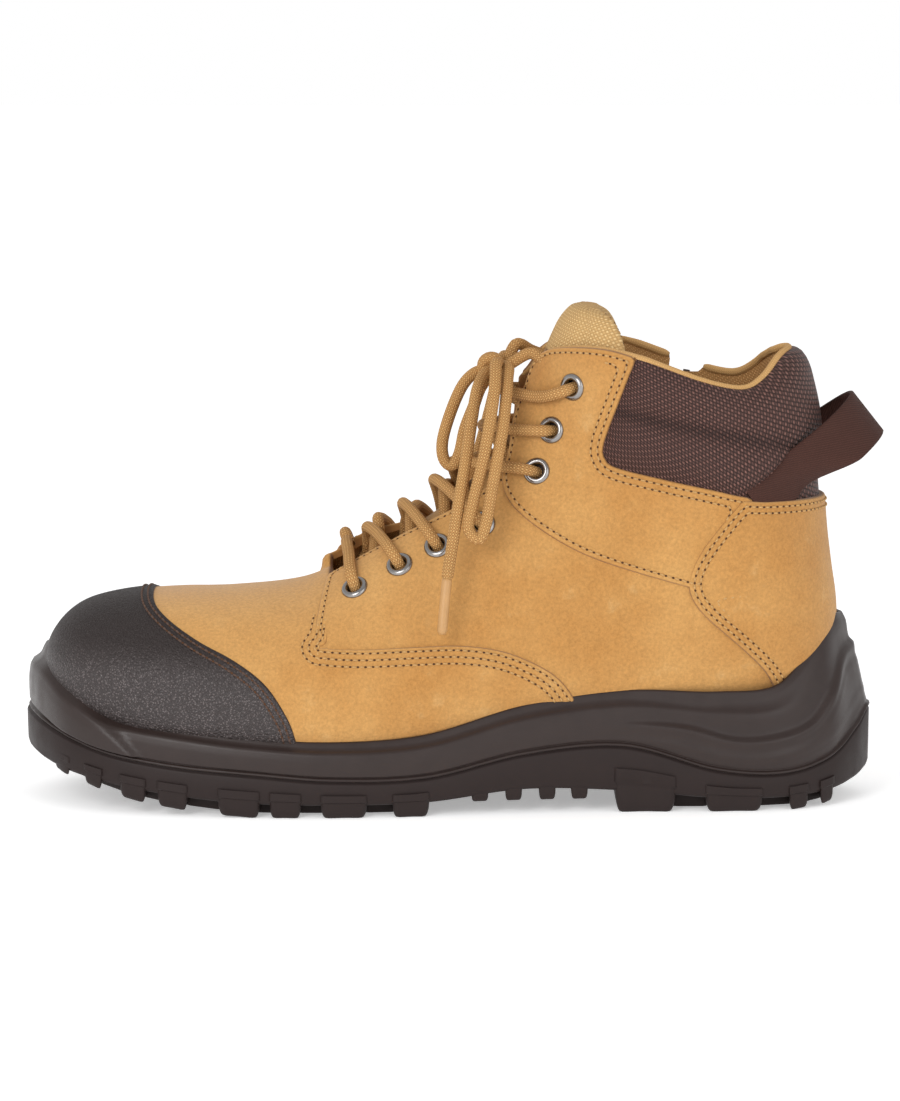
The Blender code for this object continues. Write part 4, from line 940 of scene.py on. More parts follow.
def cuffHeight(places, distance):
    x, _, z = places.T
    rounded = np.hypot(aboveFold(places), cuffPad["valleyFloor"]) - cuffPad["valleyFloor"]
    valley = cuffPad["valley"] * np.exp(-rounded / cuffPad["valleyWidth"])
    inside = np.maximum(insideOf(cuffSeen, x, z), 0)
    soft = 1 - np.exp(-inside / cuffPad["roundness"])
    up = np.clip(collarField(places) / cuffPad["collarRoll"], 0, 1)
    beside = np.clip(zipField(places) / cuffPad["zipRoll"], 0, 1)
    roll = np.sqrt(1 - (1 - up) ** 2) * np.sqrt(1 - (1 - beside) ** 2)   # rounds over to the rims
    height = (cuffPad["edge"] * rimCurve(distance) + (cuffPad["pad"] - valley) * soft) * roll
    under = easeStep(insideOf(loopFoot, x, z), *cuffPad["pressRange"])
    return height * (1 - under) + np.minimum(height, cuffPad["pressed"]) * under


cuff = makePanel("cuffPadding", "cuff", (rowToS(11.2), 1.0, -0.47, 0.47), cuffHeight, cuffCloth,
                 ["cuff", "cuff_front"], step=1.5, more=cuffFoldShade)
print("cuff padded")

# stitches: short arched threads with a flat dark disc between them, painted shade for the needle hole; along,
# swell and arch go ring by ring
sewing = {"pitch": 2.7, "length": 1.85, "radius": 0.42, "sides": 6, "along": (-1.0, -0.6, 0.0, 0.6, 1.0),
          "swell": (0.35, 0.85, 1.0, 0.85, 0.35), "arch": (-0.22, 0.10, 0.24, 0.10, -0.22),
          "holeLong": 0.50, "holeWide": 0.40, "holeSides": 8, "holeLift": 0.10}


def sewAll(name, rows, finish):
    places, faces, holes, holeFaces = [], [], [], []
    for row in rows:
        row = evenly(row, sewing["pitch"])
        spots, normals = row[:, :3], unit(row[:, 3:6])
        ahead = unit(np.gradient(spots, axis=0))
        aside = np.cross(normals, ahead)
        for k in range(len(row)):
            faces += ringFaces(len(sewing["along"]), sewing["sides"], len(places))
            ring = sewing["radius"] * spokes(aside[k], normals[k], sewing["sides"])
            for along, swell, arch in zip(sewing["along"], sewing["swell"], sewing["arch"]):
                middle = spots[k] + ahead[k] * along * sewing["length"] / 2 + normals[k] * arch
                places.extend(middle + swell * ring)
            if k + 1 < len(row):
                hole = spokes(ahead[k] * sewing["holeLong"], aside[k] * sewing["holeWide"],
                              sewing["holeSides"])
                holeFaces.append(tuple(range(len(holes), len(holes) + len(hole))))
                holes.extend((spots[k] + spots[k + 1]) / 2 + normals[k] * sewing["holeLift"] + hole)
    makeMesh(name, places, faces, finish)
    makeMesh(name + "HoleShades", holes, holeFaces, needleHoleShade, smooth=False)


sewAll("wheatStitches", sewn["wheat"], wheatThread)
sewAll("brownStitches", sewn["brown"], brownThread)
print("stitched", sum(len(row) for rows in sewn.values() for row in rows), "row points")


# sole: one row a station, toe tip to heel: x lateral medial rim line tread foot lean
soleTable = np.array([
    (0.0, 1.0, 8.0, 54.5, 33.0, 19.0, 17.0, 4.4),
    (2.0, -8.5, 17.0, 54.5, 32.0, 17.6, 15.5, 4.4),
    (7.0, -20.0, 26.0, 52.5, 30.0, 15.8, 13.5, 4.2),
    (17.0, -32.5, 36.0, 44.5, 26.0, 13.2, 10.5, 3.8),
    (32.0, -41.8, 43.6, 35.3, 21.5, 10.4, 7.2, 3.9),
    (55.0, -48.3, 48.6, 31.4, 18.0, 7.2, 3.2, 3.0),
    (82.0, -51.8, 50.2, 28.0, 15.8, 5.0, 0.6, 2.8),
    (112.0, -52.5, 49.4, 26.4, 13.6, 4.5, 0.0, 2.8),
    (145.0, -49.0, 44.0, 28.6, 14.4, 5.0, 0.0, 2.8),
    (180.0, -43.4, 37.4, 38.3, 22.0, 8.8, 7.6, 2.8),
    (215.0, -39.6, 35.6, 43.0, 24.2, 7.6, 0.0, 2.8),
    (248.0, -39.0, 36.6, 42.4, 15.4, 4.8, 0.0, 3.0),
    (272.0, -36.0, 34.4, 44.6, 13.8, 4.6, 0.3, 4.0),
    (289.0, -27.0, 26.4, 59.5, 18.0, 5.6, 2.0, 6.5),
    (299.0, -16.0, 15.8, 66.5, 26.5, 8.2, 5.5, 8.0),
    (303.8, -6.5, 6.5, 66.5, 32.5, 10.6, 8.5, 8.0),
    (305.0, -1.5, 1.5, 66.5, 33.5, 11.4, 9.5, 8.0),
])
soleEdges = ((1, -1), (2, 1))       # the table's column and the sign of y, outer edge first
soleSet = {"stations": 190, "toeOut": 0.8, "toeReach": (4.0, 28.0), "bead": 0.45, "beadPitch": 1.25,
           "beadDepth": 0.22, "beadFoot": -0.45, "beadHigh": 1.2, "beadInset": 0.25, "wallFoot": 0.15,
           "bulge": 0.9, "bulgeIn": 0.35, "heel": (255.0, 285.0), "back": (289.0, 302.0)}
soleRows = splineAt(soleTable, np.linspace(0, len(soleTable) - 1, soleSet["stations"]))
# outsole from its underside up: inset, whether the toe stands out, share from tread to line, mm above that
outsoleShape = ((9.0, 0, 0, 0.6), (1.9, 0, 0, 0.0), (0.6, 0, 0, 0.4), (0.15, 1, 0, 1.6), (0.0, 1, 0.5, 0.0),
                (-0.1, 1, 1, -1.9), (0.15, 1, 1, -1.2), (0.9, 0, 1, -0.9), (0.9, 0, 1, -0.6))
beadShares = (0.0, 0.25, 0.5, 0.75, 1.0)
grooveShape = ((0.75, 0.9), (0.75, 1.15))     # above the bead: inset, height above the moulding line
wallShares = np.concatenate([np.linspace(0.09, 0.86, 26), np.linspace(0.88, 1.0, 7)])
rimRoll = ((0.75, 0.45), (1.7, 0.35), (2.8, -0.8), (5.5, -5.0))     # over the top: inset, mm above the rim
# how far the wall leans in, as a share of the table's lean, at shares of its height
wallShape = ((0.0, 0.06, 0.12, 0.17, 0.20, 0.50, 0.68, 0.74, 0.79, 0.85, 1.0),
             (0.0, 0.00, 0.00, 0.02, 0.03, 0.10, 0.20, 0.34, 0.72, 0.98, 1.2))
heelSide = ((0.0, 0.17, 0.45, 0.65, 0.80, 0.92, 1.0), (0.0, 0.02, 0.16, 0.36, 0.62, 0.92, 1.2))
heelBack = ((0.0, 0.10, 0.25, 0.50, 0.70, 0.85, 0.92, 1.0), (0.06, 0.22, 0.44, 0.70, 0.86, 0.98, 1.06, 1.2))
bumper = {"crease": np.array([(17.0, 42.0), (41.5, 20.5)]), "proud": 2.3, "reach": (1.0, 20.0),
          "behind": 60.0, "heights": (20.5, 42.0), "widths": (1.2, 6.0), "fade": (1.02, 0.80)}
# swept steps at the heel; a range is where a step comes in, across its line or up the wall
sweep = {"line": smoothLine([(196.0, 33.0), (207.0, 32.2), (222.0, 31.8), (238.0, 30.4), (253.0, 26.2),
                             (267.0, 26.2), (282.0, 30.4), (291.0, 41.0), (298.5, 52.0), (306.0, 57.0)]),
         "from": (204.0, 240.0), "back": (285.0, 303.0), "backLess": 0.35, "top": (1.0, 0.78),
         "sunk": 0.45, "proud": 1.7, "proudRange": (-0.5, 1.1), "groove": 0.55, "grooveAt": -1.0,
         "grooveWidth": 1.6, "above": 1.0, "aboveRange": (1.5, 12.0), "second": (0.0, -5.5),
         "low": 0.5, "lowRange": (0.6, -0.6), "lowFoot": (0.1, 0.2)}


def soleAt(x, column):
    return np.interp(x, soleRows[:, 0], soleRows[:, column])


def soleLoop():
    # round both sides: toe to heel along the outer side, back along the inner one
    rows = np.concatenate([soleRows, soleRows[::-1]])
    plan = np.column_stack([rows[:, 0], np.concatenate([soleRows[:, 1], soleRows[::-1, 2]])])
    ahead = np.roll(plan, -1, 0) - np.roll(plan, 1, 0)
    for _ in range(3):
        ahead = (np.roll(ahead, 1, 0) + 2 * ahead + np.roll(ahead, -1, 0)) / 4
    ahead = unit(ahead)
    return rows, plan, np.column_stack([-ahead[:, 1], ahead[:, 0]])


def wallInset(x, height, share, lean):
    # how far in the midsole's wall stands, with the toe bumper proud of it and the swept steps at the heel
    heel, back = easeStep(x, *soleSet["heel"]), easeStep(x, *soleSet["back"])
    atHeel = np.interp(share, *heelSide) * (1 - back) + np.interp(share, *heelBack) * back
    inset = (np.interp(share, *wallShape) * (1 - heel) + atHeel * heel) * lean
    inset = inset + soleSet["bulgeIn"] - soleSet["bulge"] * math.sin(math.pi * min(1.0, share)) ** 0.8
    width = np.interp(height, bumper["heights"], bumper["widths"])
    proud = np.where(x < bumper["behind"], np.clip(1 - sideOf(bumper["crease"], x, height) / width, 0, 1), 0)
    proud = bumper["proud"] * proud * easeStep(share, *bumper["fade"]) * easeStep(x, *bumper["reach"])
    over = sideOf(sweep["line"], x, height)
    step = (sweep["sunk"] - sweep["proud"] * easeStep(over, *sweep["proudRange"])
            + sweep["groove"] * np.exp(-((over - sweep["grooveAt"]) / sweep["grooveWidth"]) ** 2)
            + sweep["above"] * easeStep(over, *sweep["aboveRange"])) * easeStep(share, *sweep["top"])
    second = sideOf(sweep["line"] + sweep["second"], x, height)
    step = step + sweep["low"] * easeStep(second, *sweep["lowRange"]) * easeStep(share, *sweep["lowFoot"])
    fade = easeStep(x, *sweep["from"]) * (1 - sweep["backLess"] * easeStep(x, *sweep["back"]))
    return inset - proud - step * fade


def makeSole():
    rows, plan, inward = soleLoop()
    x, _, _, rim, line, tread, _, lean = rows.T
    ring, loops = len(plan), []

    def addLoop(inset, height):
        loops.append(np.column_stack([plan + inward * np.reshape(inset, (-1, 1)), height]))

    toeOut = soleSet["toeOut"] * (1 - easeStep(x, *soleSet["toeReach"]))
    for inset, toe, share, above in outsoleShape:
        addLoop(inset - toe * toeOut, tread + share * (line - tread) + above)
    first = len(loops) - 1                              # the loop that both pieces share
    beads = 0.5 + 0.5 * np.sin(2 * np.pi * runOf(plan) / soleSet["beadPitch"])
    for share in beadShares:
        swell = (soleSet["bead"] + soleSet["beadDepth"] * beads) * math.sin(math.pi * share)
        addLoop(soleSet["beadInset"] - swell, line + soleSet["beadFoot"] + soleSet["beadHigh"] * share)
    for inset, above in grooveShape:
        addLoop(inset, line + above)
    for share in wallShares:
        height = line + soleSet["wallFoot"] + (rim - line) * share
        addLoop(wallInset(x, height, share, lean), height)
    for inset, above in rimRoll:
        addLoop(wallShape[1][-1] * lean + inset, rim + above)
    under = [(i + 1, i, ring - 1 - i, ring - 2 - i) for i in range(len(soleRows) - 1)]
    makeMesh("outsoleBody", np.concatenate(loops[:first + 1]), ringFaces(first + 1, ring) + under,
             treadRubber, ["outsole"])
    makeMesh("midsoleWall", np.concatenate(loops[first:]), ringFaces(len(loops) - first, ring), soleRubber,
             ["midsole"])


makeSole()

# lugs: start end depth rise, along each edge of the tread
edgeLugs = [
    (10.5, 17.0, 11.0, 0.42), (22.0, 29.0, 13.0, 0.42), (35.0, 45.0, 16.0, 0.42),
    (48.5, 60.0, 18.0, 0.44), (70.0, 86.0, 18.0, 0.44), (88.5, 100.5, 18.0, 0.44),
    (106.5, 124.0, 19.0, 0.42), (132.0, 146.0, 18.0, 0.42), (160.5, 166.5, 12.0, 0.2),
    (172.5, 178.5, 12.0, 0.2), (184.5, 190.5, 12.0, 0.2), (196.0, 202.0, 12.0, 0.2),
    (211.0, 234.0, 20.0, 0.5), (243.5, 265.0, 19.0, 0.42), (274.0, 281.5, 15.0, 0.42),
    (285.5, 291.0, 12.0, 0.38),
]
lugSet = {"corner": 2.6, "taper": 0.93, "proud": 0.9, "archProud": -0.5, "archFoot": 4.8, "floorTrim": 0.5,
          "toeShare": 0.35, "toeReach": (8.0, 42.0), "shoulder": 0.55, "arch": (150.0, 208.0),
          "archClear": 5.0, "centreStarts": (34.0, 58.0, 82.0, 106.0, 130.0, 222.0, 250.0),
          "centreLength": 15.0, "centreHalf": 13.0, "chevron": 7.0, "lap": 3.0, "secondRow": 10.0,
          "secondDepth": 11.0,
          "rootHigh": 1.5, "sharp": 42.0}


def roundedPlan(corners, radius, arc=6):
    corners = np.asarray(corners, float)
    plan = []
    for before, here, after in zip(np.roll(corners, 1, 0), corners, np.roll(corners, -1, 0)):
        back, ahead = before - here, after - here
        reach = min(radius, 0.35 * np.linalg.norm(back), 0.35 * np.linalg.norm(ahead))
        a, b = here + unit(back) * reach, here + unit(ahead) * reach
        plan += [(1 - t) ** 2 * a + 2 * t * (1 - t) * here + t * t * b for t in np.linspace(0, 1, arc)]
    return np.array(plan)


def makeLugs():
    places, faces = [], []

    def addBlock(corners, topOf, footOf, shoulder=0.0):
        # rings of a lug from top to foot: size, share of the way down, inset; the foot's edge is rounded
        plan = roundedPlan(corners, lugSet["corner"])
        centre = plan.mean(0)
        ring, base, taper = len(plan), len(places), lugSet["taper"]
        levels = [(1.0, 0.0, 0.0), (1.0, 0.3, 0.0)]
        if shoulder:                       # a narrow step below the lug's top edge
            levels += [(1.0, 0.34, shoulder), (0.99, 0.40, shoulder)]
        levels += [(0.97, 0.68, shoulder), (taper + 0.01, 0.84, shoulder + 0.15),
                   (taper, 0.93, shoulder + 0.5), (taper, 0.98, shoulder + 1.0),
                   (taper, 1.0, shoulder + 1.7)]
        for size, down, inset in levels:
            spread = (plan - centre) * size
            edge = centre + spread - unit(spread) * inset
            top, foot = topOf(edge[:, 0]), footOf(edge[:, 0])
            places.extend(np.column_stack([edge, top + (foot - top) * down]).tolist())
        faces.extend(ringFaces(len(levels), ring, base))
        faces.append(tuple(range(len(places) - ring, len(places))))
        faces.append(tuple(range(base + ring - 1, base - 1, -1)))

    def footAt(x):
        deep = lugSet["toeShare"] + (1 - lugSet["toeShare"]) * easeStep(x, *lugSet["toeReach"])
        tread, foot = soleAt(x, 5), soleAt(x, 6) - lugSet["floorTrim"]
        return np.maximum(0.0, tread - (tread - foot) * deep)

    def rootAt(x):
        return soleAt(x, 5) + lugSet["rootHigh"]

    archFrom, archTo = lugSet["arch"]
    for start, end, depth, rise in edgeLugs:
        arch = archFrom < start < archTo

        def topAt(x, rise=rise):
            return soleAt(x, 5) + (soleAt(x, 4) - soleAt(x, 5)) * rise

        def archAt(x):
            return np.full(np.shape(x), lugSet["archFoot"])

        for column, side in soleEdges:
            along = np.linspace(start, end, 3)
            outer = np.abs(soleAt(along, column)) + lugSet["archProud" if arch else "proud"]
            inner = (outer[-1] - depth, outer[0] - depth)
            corners = np.column_stack([[*along, end, start], side * np.array([*outer, *inner])])
            addBlock(corners[::-side], topAt, archAt if arch else footAt, 0.0 if arch else lugSet["shoulder"])
    for (_, end, _, _), (start, _, _, _) in zip(edgeLugs[:-1], edgeLugs[1:]):
        if archFrom - lugSet["archClear"] < start < archTo + lugSet["archClear"]:
            continue
        for column, side in soleEdges:
            along = np.array((end - lugSet["lap"], start + lugSet["lap"]))
            outer = np.abs(soleAt(along, column)) - lugSet["secondRow"]
            inner = outer - np.minimum(outer, lugSet["secondDepth"])
            corners = np.column_stack([[*along, *along[::-1]], side * np.array([*outer, *inner[::-1]])])
            addBlock(corners[::-side], rootAt, footAt)
    for start in lugSet["centreStarts"]:
        end, half, point = start + lugSet["centreLength"], lugSet["centreHalf"], lugSet["chevron"]
        addBlock([(start, 0.0), (start + point, -half), (end, -half), (end - point, 0.0), (end, half),
                  (start + point, half)], rootAt, footAt)
    lugs = makeMesh("treadLugs", places, faces, treadRubber)
    lugs.data.set_sharp_from_angle(angle=math.radians(lugSet["sharp"]))


makeLugs()
print("sole moulded")


# lining, seen down the collar and through the throat
liningSet = {"from": 4.6, "step": 2.0, "roll": 1.6, "rollWidth": 2.6, "guardTop": 151.0}


def liningField(places):
    # the lining goes on behind the zip as a guard, to just below the collar
    slit = np.maximum(zipField(places), liningSet["guardTop"] - places[:, 2])
    return np.minimum.reduce([throatField(places), slit, collarField(places)])


def makeLining():
    data, tri = cutPiece(liningField, (rowToS(liningSet["from"]), 1.0, 0.0, 1.0), liningSet["step"], ())
    places, normals = onSkin(*data.T[:2])
    nearRim = np.maximum(collarField(places), 0) / liningSet["rollWidth"]
    height = liningSet["roll"] * np.exp(-nearRim ** 2) - wall
    places = places + normals * height[:, None]
    makeMesh("lining", places, tri[:, ::-1], liningCloth, values=weaveOf(data))


makeLining()


# round pieces along a line: collar bead, laces and their ends
def layTube(path, radius, sides=12):
    # places, faces and the corner values warp and weft, slanted both ways round the tube
    path = np.asarray(path, float)
    radius = np.broadcast_to(radius, len(path)).reshape(-1, 1, 1)
    ahead = unit(np.gradient(path, axis=0))
    aside, first = np.cross(ahead[0], (0.31, 0.17, 0.93)), []
    for way in ahead:                                   # carried on without twist
        aside = unit(aside - way * (aside @ way))
        first.append(aside)
    first = np.array(first)
    ring = spokes(first[:, None], np.cross(ahead, first)[:, None], sides)
    run, reach = runOf(path), 2 * np.pi * radius.max() / sides
    head, tail = tuple(range(sides - 1, -1, -1)), tuple(range((len(path) - 1) * sides, len(path) * sides))
    along = [run[i + n] for i in range(len(path) - 1) for _ in range(sides) for n in (0, 0, 1, 1)]
    around = [(k + n) * reach for _ in range(len(path) - 1) for k in range(sides) for n in (0, 1, 1, 0)]
    along = np.array(along + [run[0]] * sides + [run[-1]] * sides)
    around = np.array(around + [k % sides * reach for k in head + tail])
    places = (path[:, None] + radius * ring).reshape(-1, 3)
    return places, ringFaces(len(path), sides) + [head, tail], slanted(along, around)


def joinTubes(tubes):
    starts = np.cumsum([0] + [len(places) for places, _, _ in tubes]).tolist()
    faces = [tuple(k + base for k in face) for base, (_, rings, _) in zip(starts, tubes) for face in rings]
    values = {way: np.concatenate([tube[2][way] for tube in tubes]) for way in ("warp", "weft")}
    return np.concatenate([places for places, _, _ in tubes]), faces, values


def routed(points, step=0.9):
    # a smooth line through a route's own points, at even steps
    points = np.asarray(points, float)
    return evenly(splineAt(points, np.linspace(0, len(points) - 1, 24 * len(points))), step)


beadSet = {"radius": 1.45, "frontRadius": 0.8, "height": -0.75, "thinTo": 212.0, "fullFrom": 222.0,
           "tip": 3.0, "clear": 0.3, "step": 1.1, "blunt": 0.5, "sides": 10}


def makeBead():
    data, tri = layPatch(rowToS(9.8), 1.0, -0.5, 0.5, 1.2)
    data = np.column_stack([data, collarField(onSkin(*data.T)[0])])
    tubes = []
    for line in traceLines(data, tri, 2, 0.0):
        places, normals = onSkin(*line.T[:2])
        lifted = places + normals * beadSet["height"]
        for part in keptRuns(np.minimum(throatField(places), zipField(places)) > beadSet["clear"]):
            path = evenly(lifted[part], beadSet["step"])
            radius = np.interp(path[:, 0], (beadSet["thinTo"], beadSet["fullFrom"]),
                               (beadSet["frontRadius"], beadSet["radius"]))
            count = np.arange(len(path))
            fromEnd = np.minimum(count, count[::-1]) * beadSet["step"] + beadSet["blunt"]
            radius = radius * np.sqrt(1 - (1 - np.clip(fromEnd / beadSet["tip"], 0, 1)) ** 2)
            tubes.append(layTube(path, radius, beadSet["sides"]))
    places, faces, values = joinTubes(tubes)
    makeMesh("collarBead", places, faces, beadCloth, values=values)


makeBead()
print("lining and collar bead laid")

# tongue: station half thick depth, a row a station on the last, from the vamp to its free top
tongueTable = np.array([
    (6.1, 18.0, 2.0, 3.9), (7.0, 20.0, 2.2, 4.3), (8.0, 22.0, 2.8, 4.2), (9.0, 23.0, 3.6, 4.2),
    (10.0, 24.0, 5.0, 4.0), (11.5, 26.5, 9.5, 3.4), (13.0, 30.0, 15.0, 2.6), (13.8, 30.0, 17.0, 2.4),
    (14.3, 28.5, 16.5, 3.2), (14.65, 23.0, 12.5, 5.6), (14.78, 14.0, 6.0, 9.0),
])
tongueSet = {"rows": 110, "across": 40, "leatherTo": 0.60, "seamShare": 0.62, "seamDepth": 0.9,
             "seamWidth": 0.05, "seamFull": 7.0, "thinner": 0.5, "plump": 6.0, "sewnAt": -3,
             "sewnFrom": 0.66, "sewnTo": 0.97, "rim": 9.0}


def tongueRing(row):
    # one section of the pad as a closed loop: across its front, round the edge and back
    station, half, thick, depth = row
    section = splineAt(lastTable, [station])
    lateral, medial, ridge, topPower = section[0, [4, 5, 6, 9]]
    turn = math.asin((half / (min(lateral + ridge, medial - ridge) - depth)) ** (topPower / 2))
    share = np.sin(np.linspace(-np.pi / 2, np.pi / 2, tongueSet["across"]))
    full = thick * (1 - tongueSet["thinner"] * share ** 2)
    edge = (1 - np.abs(share) ** tongueSet["plump"]) ** 0.5
    seam = np.exp(-((np.abs(share) - tongueSet["seamShare"]) / tongueSet["seamWidth"]) ** 2)
    seam = tongueSet["seamDepth"] * seam * min(1.0, thick / tongueSet["seamFull"]) ** 2
    middle = depth + full / 2
    rows, angle = np.repeat(section, len(share), 0), np.pi + share * turn
    front = sectionPoint(rows, angle, -middle + full / 2 * edge - seam)
    back = sectionPoint(rows, angle, -middle - full / 2 * edge)
    return np.concatenate([front, back[-2:0:-1]]), np.concatenate([share, share[-2:0:-1]]) * half


def makeTongue():
    at = np.linspace(0, len(tongueTable) - 1, tongueSet["rows"])
    rings, across = (np.array(part) for part in zip(*[tongueRing(row) for row in splineAt(tongueTable, at)]))
    count = rings.shape[1]
    along = runOf(rings[:, count // 4])
    split = int(tongueSet["leatherTo"] * len(rings))

    def addPart(name, low, high, finish, nodes=()):
        rows = high - low
        faces = [(a, d, c, b) for a, b, c, d in ringFaces(rows, count)]
        faces += [tuple(range(count)), tuple(range(rows * count - 1, (rows - 1) * count - 1, -1))]
        values = slanted(np.repeat(along[low:high], count), across[low:high].ravel())
        values["rim"] = np.full(rows * count, tongueSet["rim"])
        return makeMesh(name, rings[low:high].reshape(-1, 3), faces, finish, nodes, values)

    # the leather part of the tongue takes the painted shade copy of the nubuck
    addPart("tongueLeather", 0, split + 1, shadedNubuck)
    pad = addPart("tonguePad", split - 1, len(rings), tongueCloth, ["tongue"])
    edge = rings[int(tongueSet["sewnFrom"] * len(rings)):int(tongueSet["sewnTo"] * len(rings))]
    row = edge[:, tongueSet["sewnAt"]]
    sewAll("tongueStitches", [np.column_stack([row, row - edge.mean(1)])], wheatThread)


makeTongue()
print("tongue padded")


# eyelets: one turned ring a hole, with a flat dark disc behind it as painted shade inside the hole
def panelTop(k, places):
    # how high the panel that holds a pair of eyelets stands off the last
    heightAt = ankleHeight if k >= eyeletSet["inAnkleFrom"] else quarterHeight
    return heightAt(places, np.array([eyeletSet["inFromEdge"]]))[0]


def makeEyelets():
    places, faces, wells, wellFaces = [], [], [], []
    profile, turns = np.array(eyeletSet["profile"]), eyeletSet["segments"]
    count = len(profile)
    for side in (-1, 1):
        middles, normals = onSkin(*eyeletSpots[side].T)
        for k, (middle, normal) in enumerate(zip(middles, normals)):
            foot = middle + normal * panelTop(k, middle[None])
            first = unit(np.cross(normal, (0, 0, 1.0)))
            ways = spokes(first, np.cross(normal, first), turns)
            base = len(places)
            places.extend(foot + way * r + normal * h for way in ways for r, h in profile)
            pairs = [(base + i * count + j, base + (i + 1) % turns * count + j)
                     for i in range(turns) for j in range(count - 1)]
            faces += [(a, b, b + 1, a + 1) for a, b in pairs]
            wellFaces.append(tuple(range(len(wells), len(wells) + turns)))
            reach = profile[0, 0] + eyeletSet["wellLap"]
            wells.extend(foot + ways * reach + normal * eyeletSet["wellDepth"])
    names = [f"eyelet_{word}_{k + 1}" for word in ("lateral", "medial") for k in range(len(eyelets))]
    makeMesh("eyeletRings", places, faces, nickel, names)
    makeMesh("eyeletHoleShades", wells, wellFaces, eyeletHoleShade, smooth=False)


makeEyelets()
print("eyelets set")


# lace: out of each eyelet, over that side's edge, across and under the other edge to the eyelet below
lace = {"radius": 2.15, "sides": 14, "inHole": -2.6, "mouth": 0.9, "mouthAt": 0.9, "onPanel": 2.5,
        "over": 5.4, "below": 0.8, "under": -5.4, "underFrom": -3.8, "hump": 0.5, "settle": 5.0,
        "smoothings": 12, "step": 0.9, "dip": rowToS(11.0) - rowToS(9.9)}
# the sealed tips: the cord thins inside them, and each end of a tip is rounded by shares of its radius
tip = {"length": 20.0, "radius": 1.85, "inside": 1.6, "cordEnd": 0.4, "start": (0.9, 1.0),
       "end": (0.92, 0.55)}
knot = {"at": (167.8, -2.0, 156.2), "wrap": 3.1, "turns": 2.0, "pitch": 4.5,
        "inward": np.linspace(0.25, 0.75, 4), "heights": (-5.4, -4.4, 0.0, 4.0),
        "ends": ((5.0, 6.0, 0.5), (1.0, 2.5, -0.5))}
intoKnot = {"loopNear": ((168.6, -4.4, 157.0), (170.8, -5.0, 156.6)),
            "loopFront": ((165.6, -2.6, 155.4), (166.9, -5.6, 153.4)),
            "endNear": ((167.2, -5.2, 155.4),), "endFar": ((169.8, 1.4, 157.2),)}
routes = {
    "loopNear": [(170.0, -11.0, 158.2), (169.2, -18.0, 157.8), (168.8, -25.0, 151.0), (167.2, -31.5, 140.0),
                 (164.6, -36.5, 126.0), (161.2, -39.4, 112.0), (159.4, -41.8, 102.4), (163.2, -43.0, 98.8),
                 (165.6, -42.2, 104.4), (167.6, -40.0, 115.5), (169.6, -36.4, 126.5), (171.6, -31.4, 137.0),
                 (172.8, -25.2, 147.0), (173.4, -18.4, 153.4), (173.6, -12.4, 156.6)],
    "loopFront": [(161.0, -3.4, 153.4), (157.0, -4.4, 148.8), (153.0, -5.4, 139.6), (150.2, -6.4, 129.8),
                  (150.6, -7.4, 123.4), (153.6, -8.8, 121.0), (156.2, -10.4, 125.6), (158.2, -11.2, 134.6),
                  (161.6, -11.2, 143.4), (163.6, -10.6, 148.8)],
    "endNear": [(164.4, -11.0, 153.0), (162.4, -17.6, 148.6), (160.6, -24.6, 139.0), (158.6, -31.6, 126.0),
                (156.0, -38.0, 111.0), (153.6, -42.8, 96.0), (151.6, -47.2, 83.0), (150.0, -50.0, 65.6)],
    "endFar": [(172.6, 6.6, 158.6), (172.2, 13.4, 158.0), (170.6, 21.0, 151.6), (167.6, 28.6, 138.0),
               (163.0, 35.4, 120.0), (158.0, 40.0, 103.0), (154.6, 43.6, 90.0), (152.6, 46.2, 79.0)],
}


def pathLength(path):
    return float(runOf(path)[-1])


def laceWay(side, start, end, crest, dives):
    # from one eyelet to one on the other side; a dive goes under the far edge, else into the far hole
    share = np.linspace(0, 1, 120)
    a, b = eyeletSpots[side][start], eyeletSpots[-side][end]
    dip = 4 * share * (1 - share) * (lace["dip"] if start >= eyeletSet["inAnkleFrom"] else 0.0)
    flat, normals = onSkin(a[0] + (b[0] - a[0]) * share - dip, a[1] + (b[1] - a[1]) * share)
    run = runOf(flat)
    gap = np.where(throatField(flat) < 0)[0]
    enter, leave = run[gap[0]], run[gap[-1]]
    panel = panelTop(start, flat[:1])
    lying = panel + lace["onPanel"]
    hole = [(0.0, lace["inHole"]), (lace["mouthAt"], panel + lace["mouth"]),
            (lace["settle"], lying + lace["hump"])]
    marks = hole + [(enter, lying), ((enter + leave) / 2, crest)]
    if dives:
        marks += [(leave - 1.0, lace["underFrom"]), (leave + 3.0, lace["under"]), (run[-1], lace["under"])]
    else:
        marks += [(leave, lying)] + [(run[-1] - at, height) for at, height in hole[::-1]]
    height = np.interp(run, *np.array(marks).T)
    for _ in range(lace["smoothings"]):
        height[1:-1] = (height[:-2] + 2 * height[1:-1] + height[2:]) / 4
    return evenly(flat + normals * height[:, None], lace["step"])


def knotWay():
    angle = np.linspace(0, knot["turns"] * 2 * np.pi, 60)
    run = knot["turns"] * knot["pitch"]
    wound = np.column_stack([knot["wrap"] * np.cos(angle), run * (angle / angle[-1] - 0.5),
                             knot["wrap"] * np.sin(angle)])
    return evenly(wound + knot["at"], lace["step"])


def toKnot(side):
    # from under the top of one side's edge to the knot
    s, v = eyeletSpots[side][-1]
    inward, height = knot["inward"], np.array(knot["heights"])
    flat, normals = onSkin(np.full(len(inward), s), v + (0.5 - v) * np.array(inward))
    ends = [np.array(knot["at"]) + (x, side * y, z) for x, y, z in knot["ends"]]
    return routed(np.concatenate([flat + normals * height[:, None], ends]))


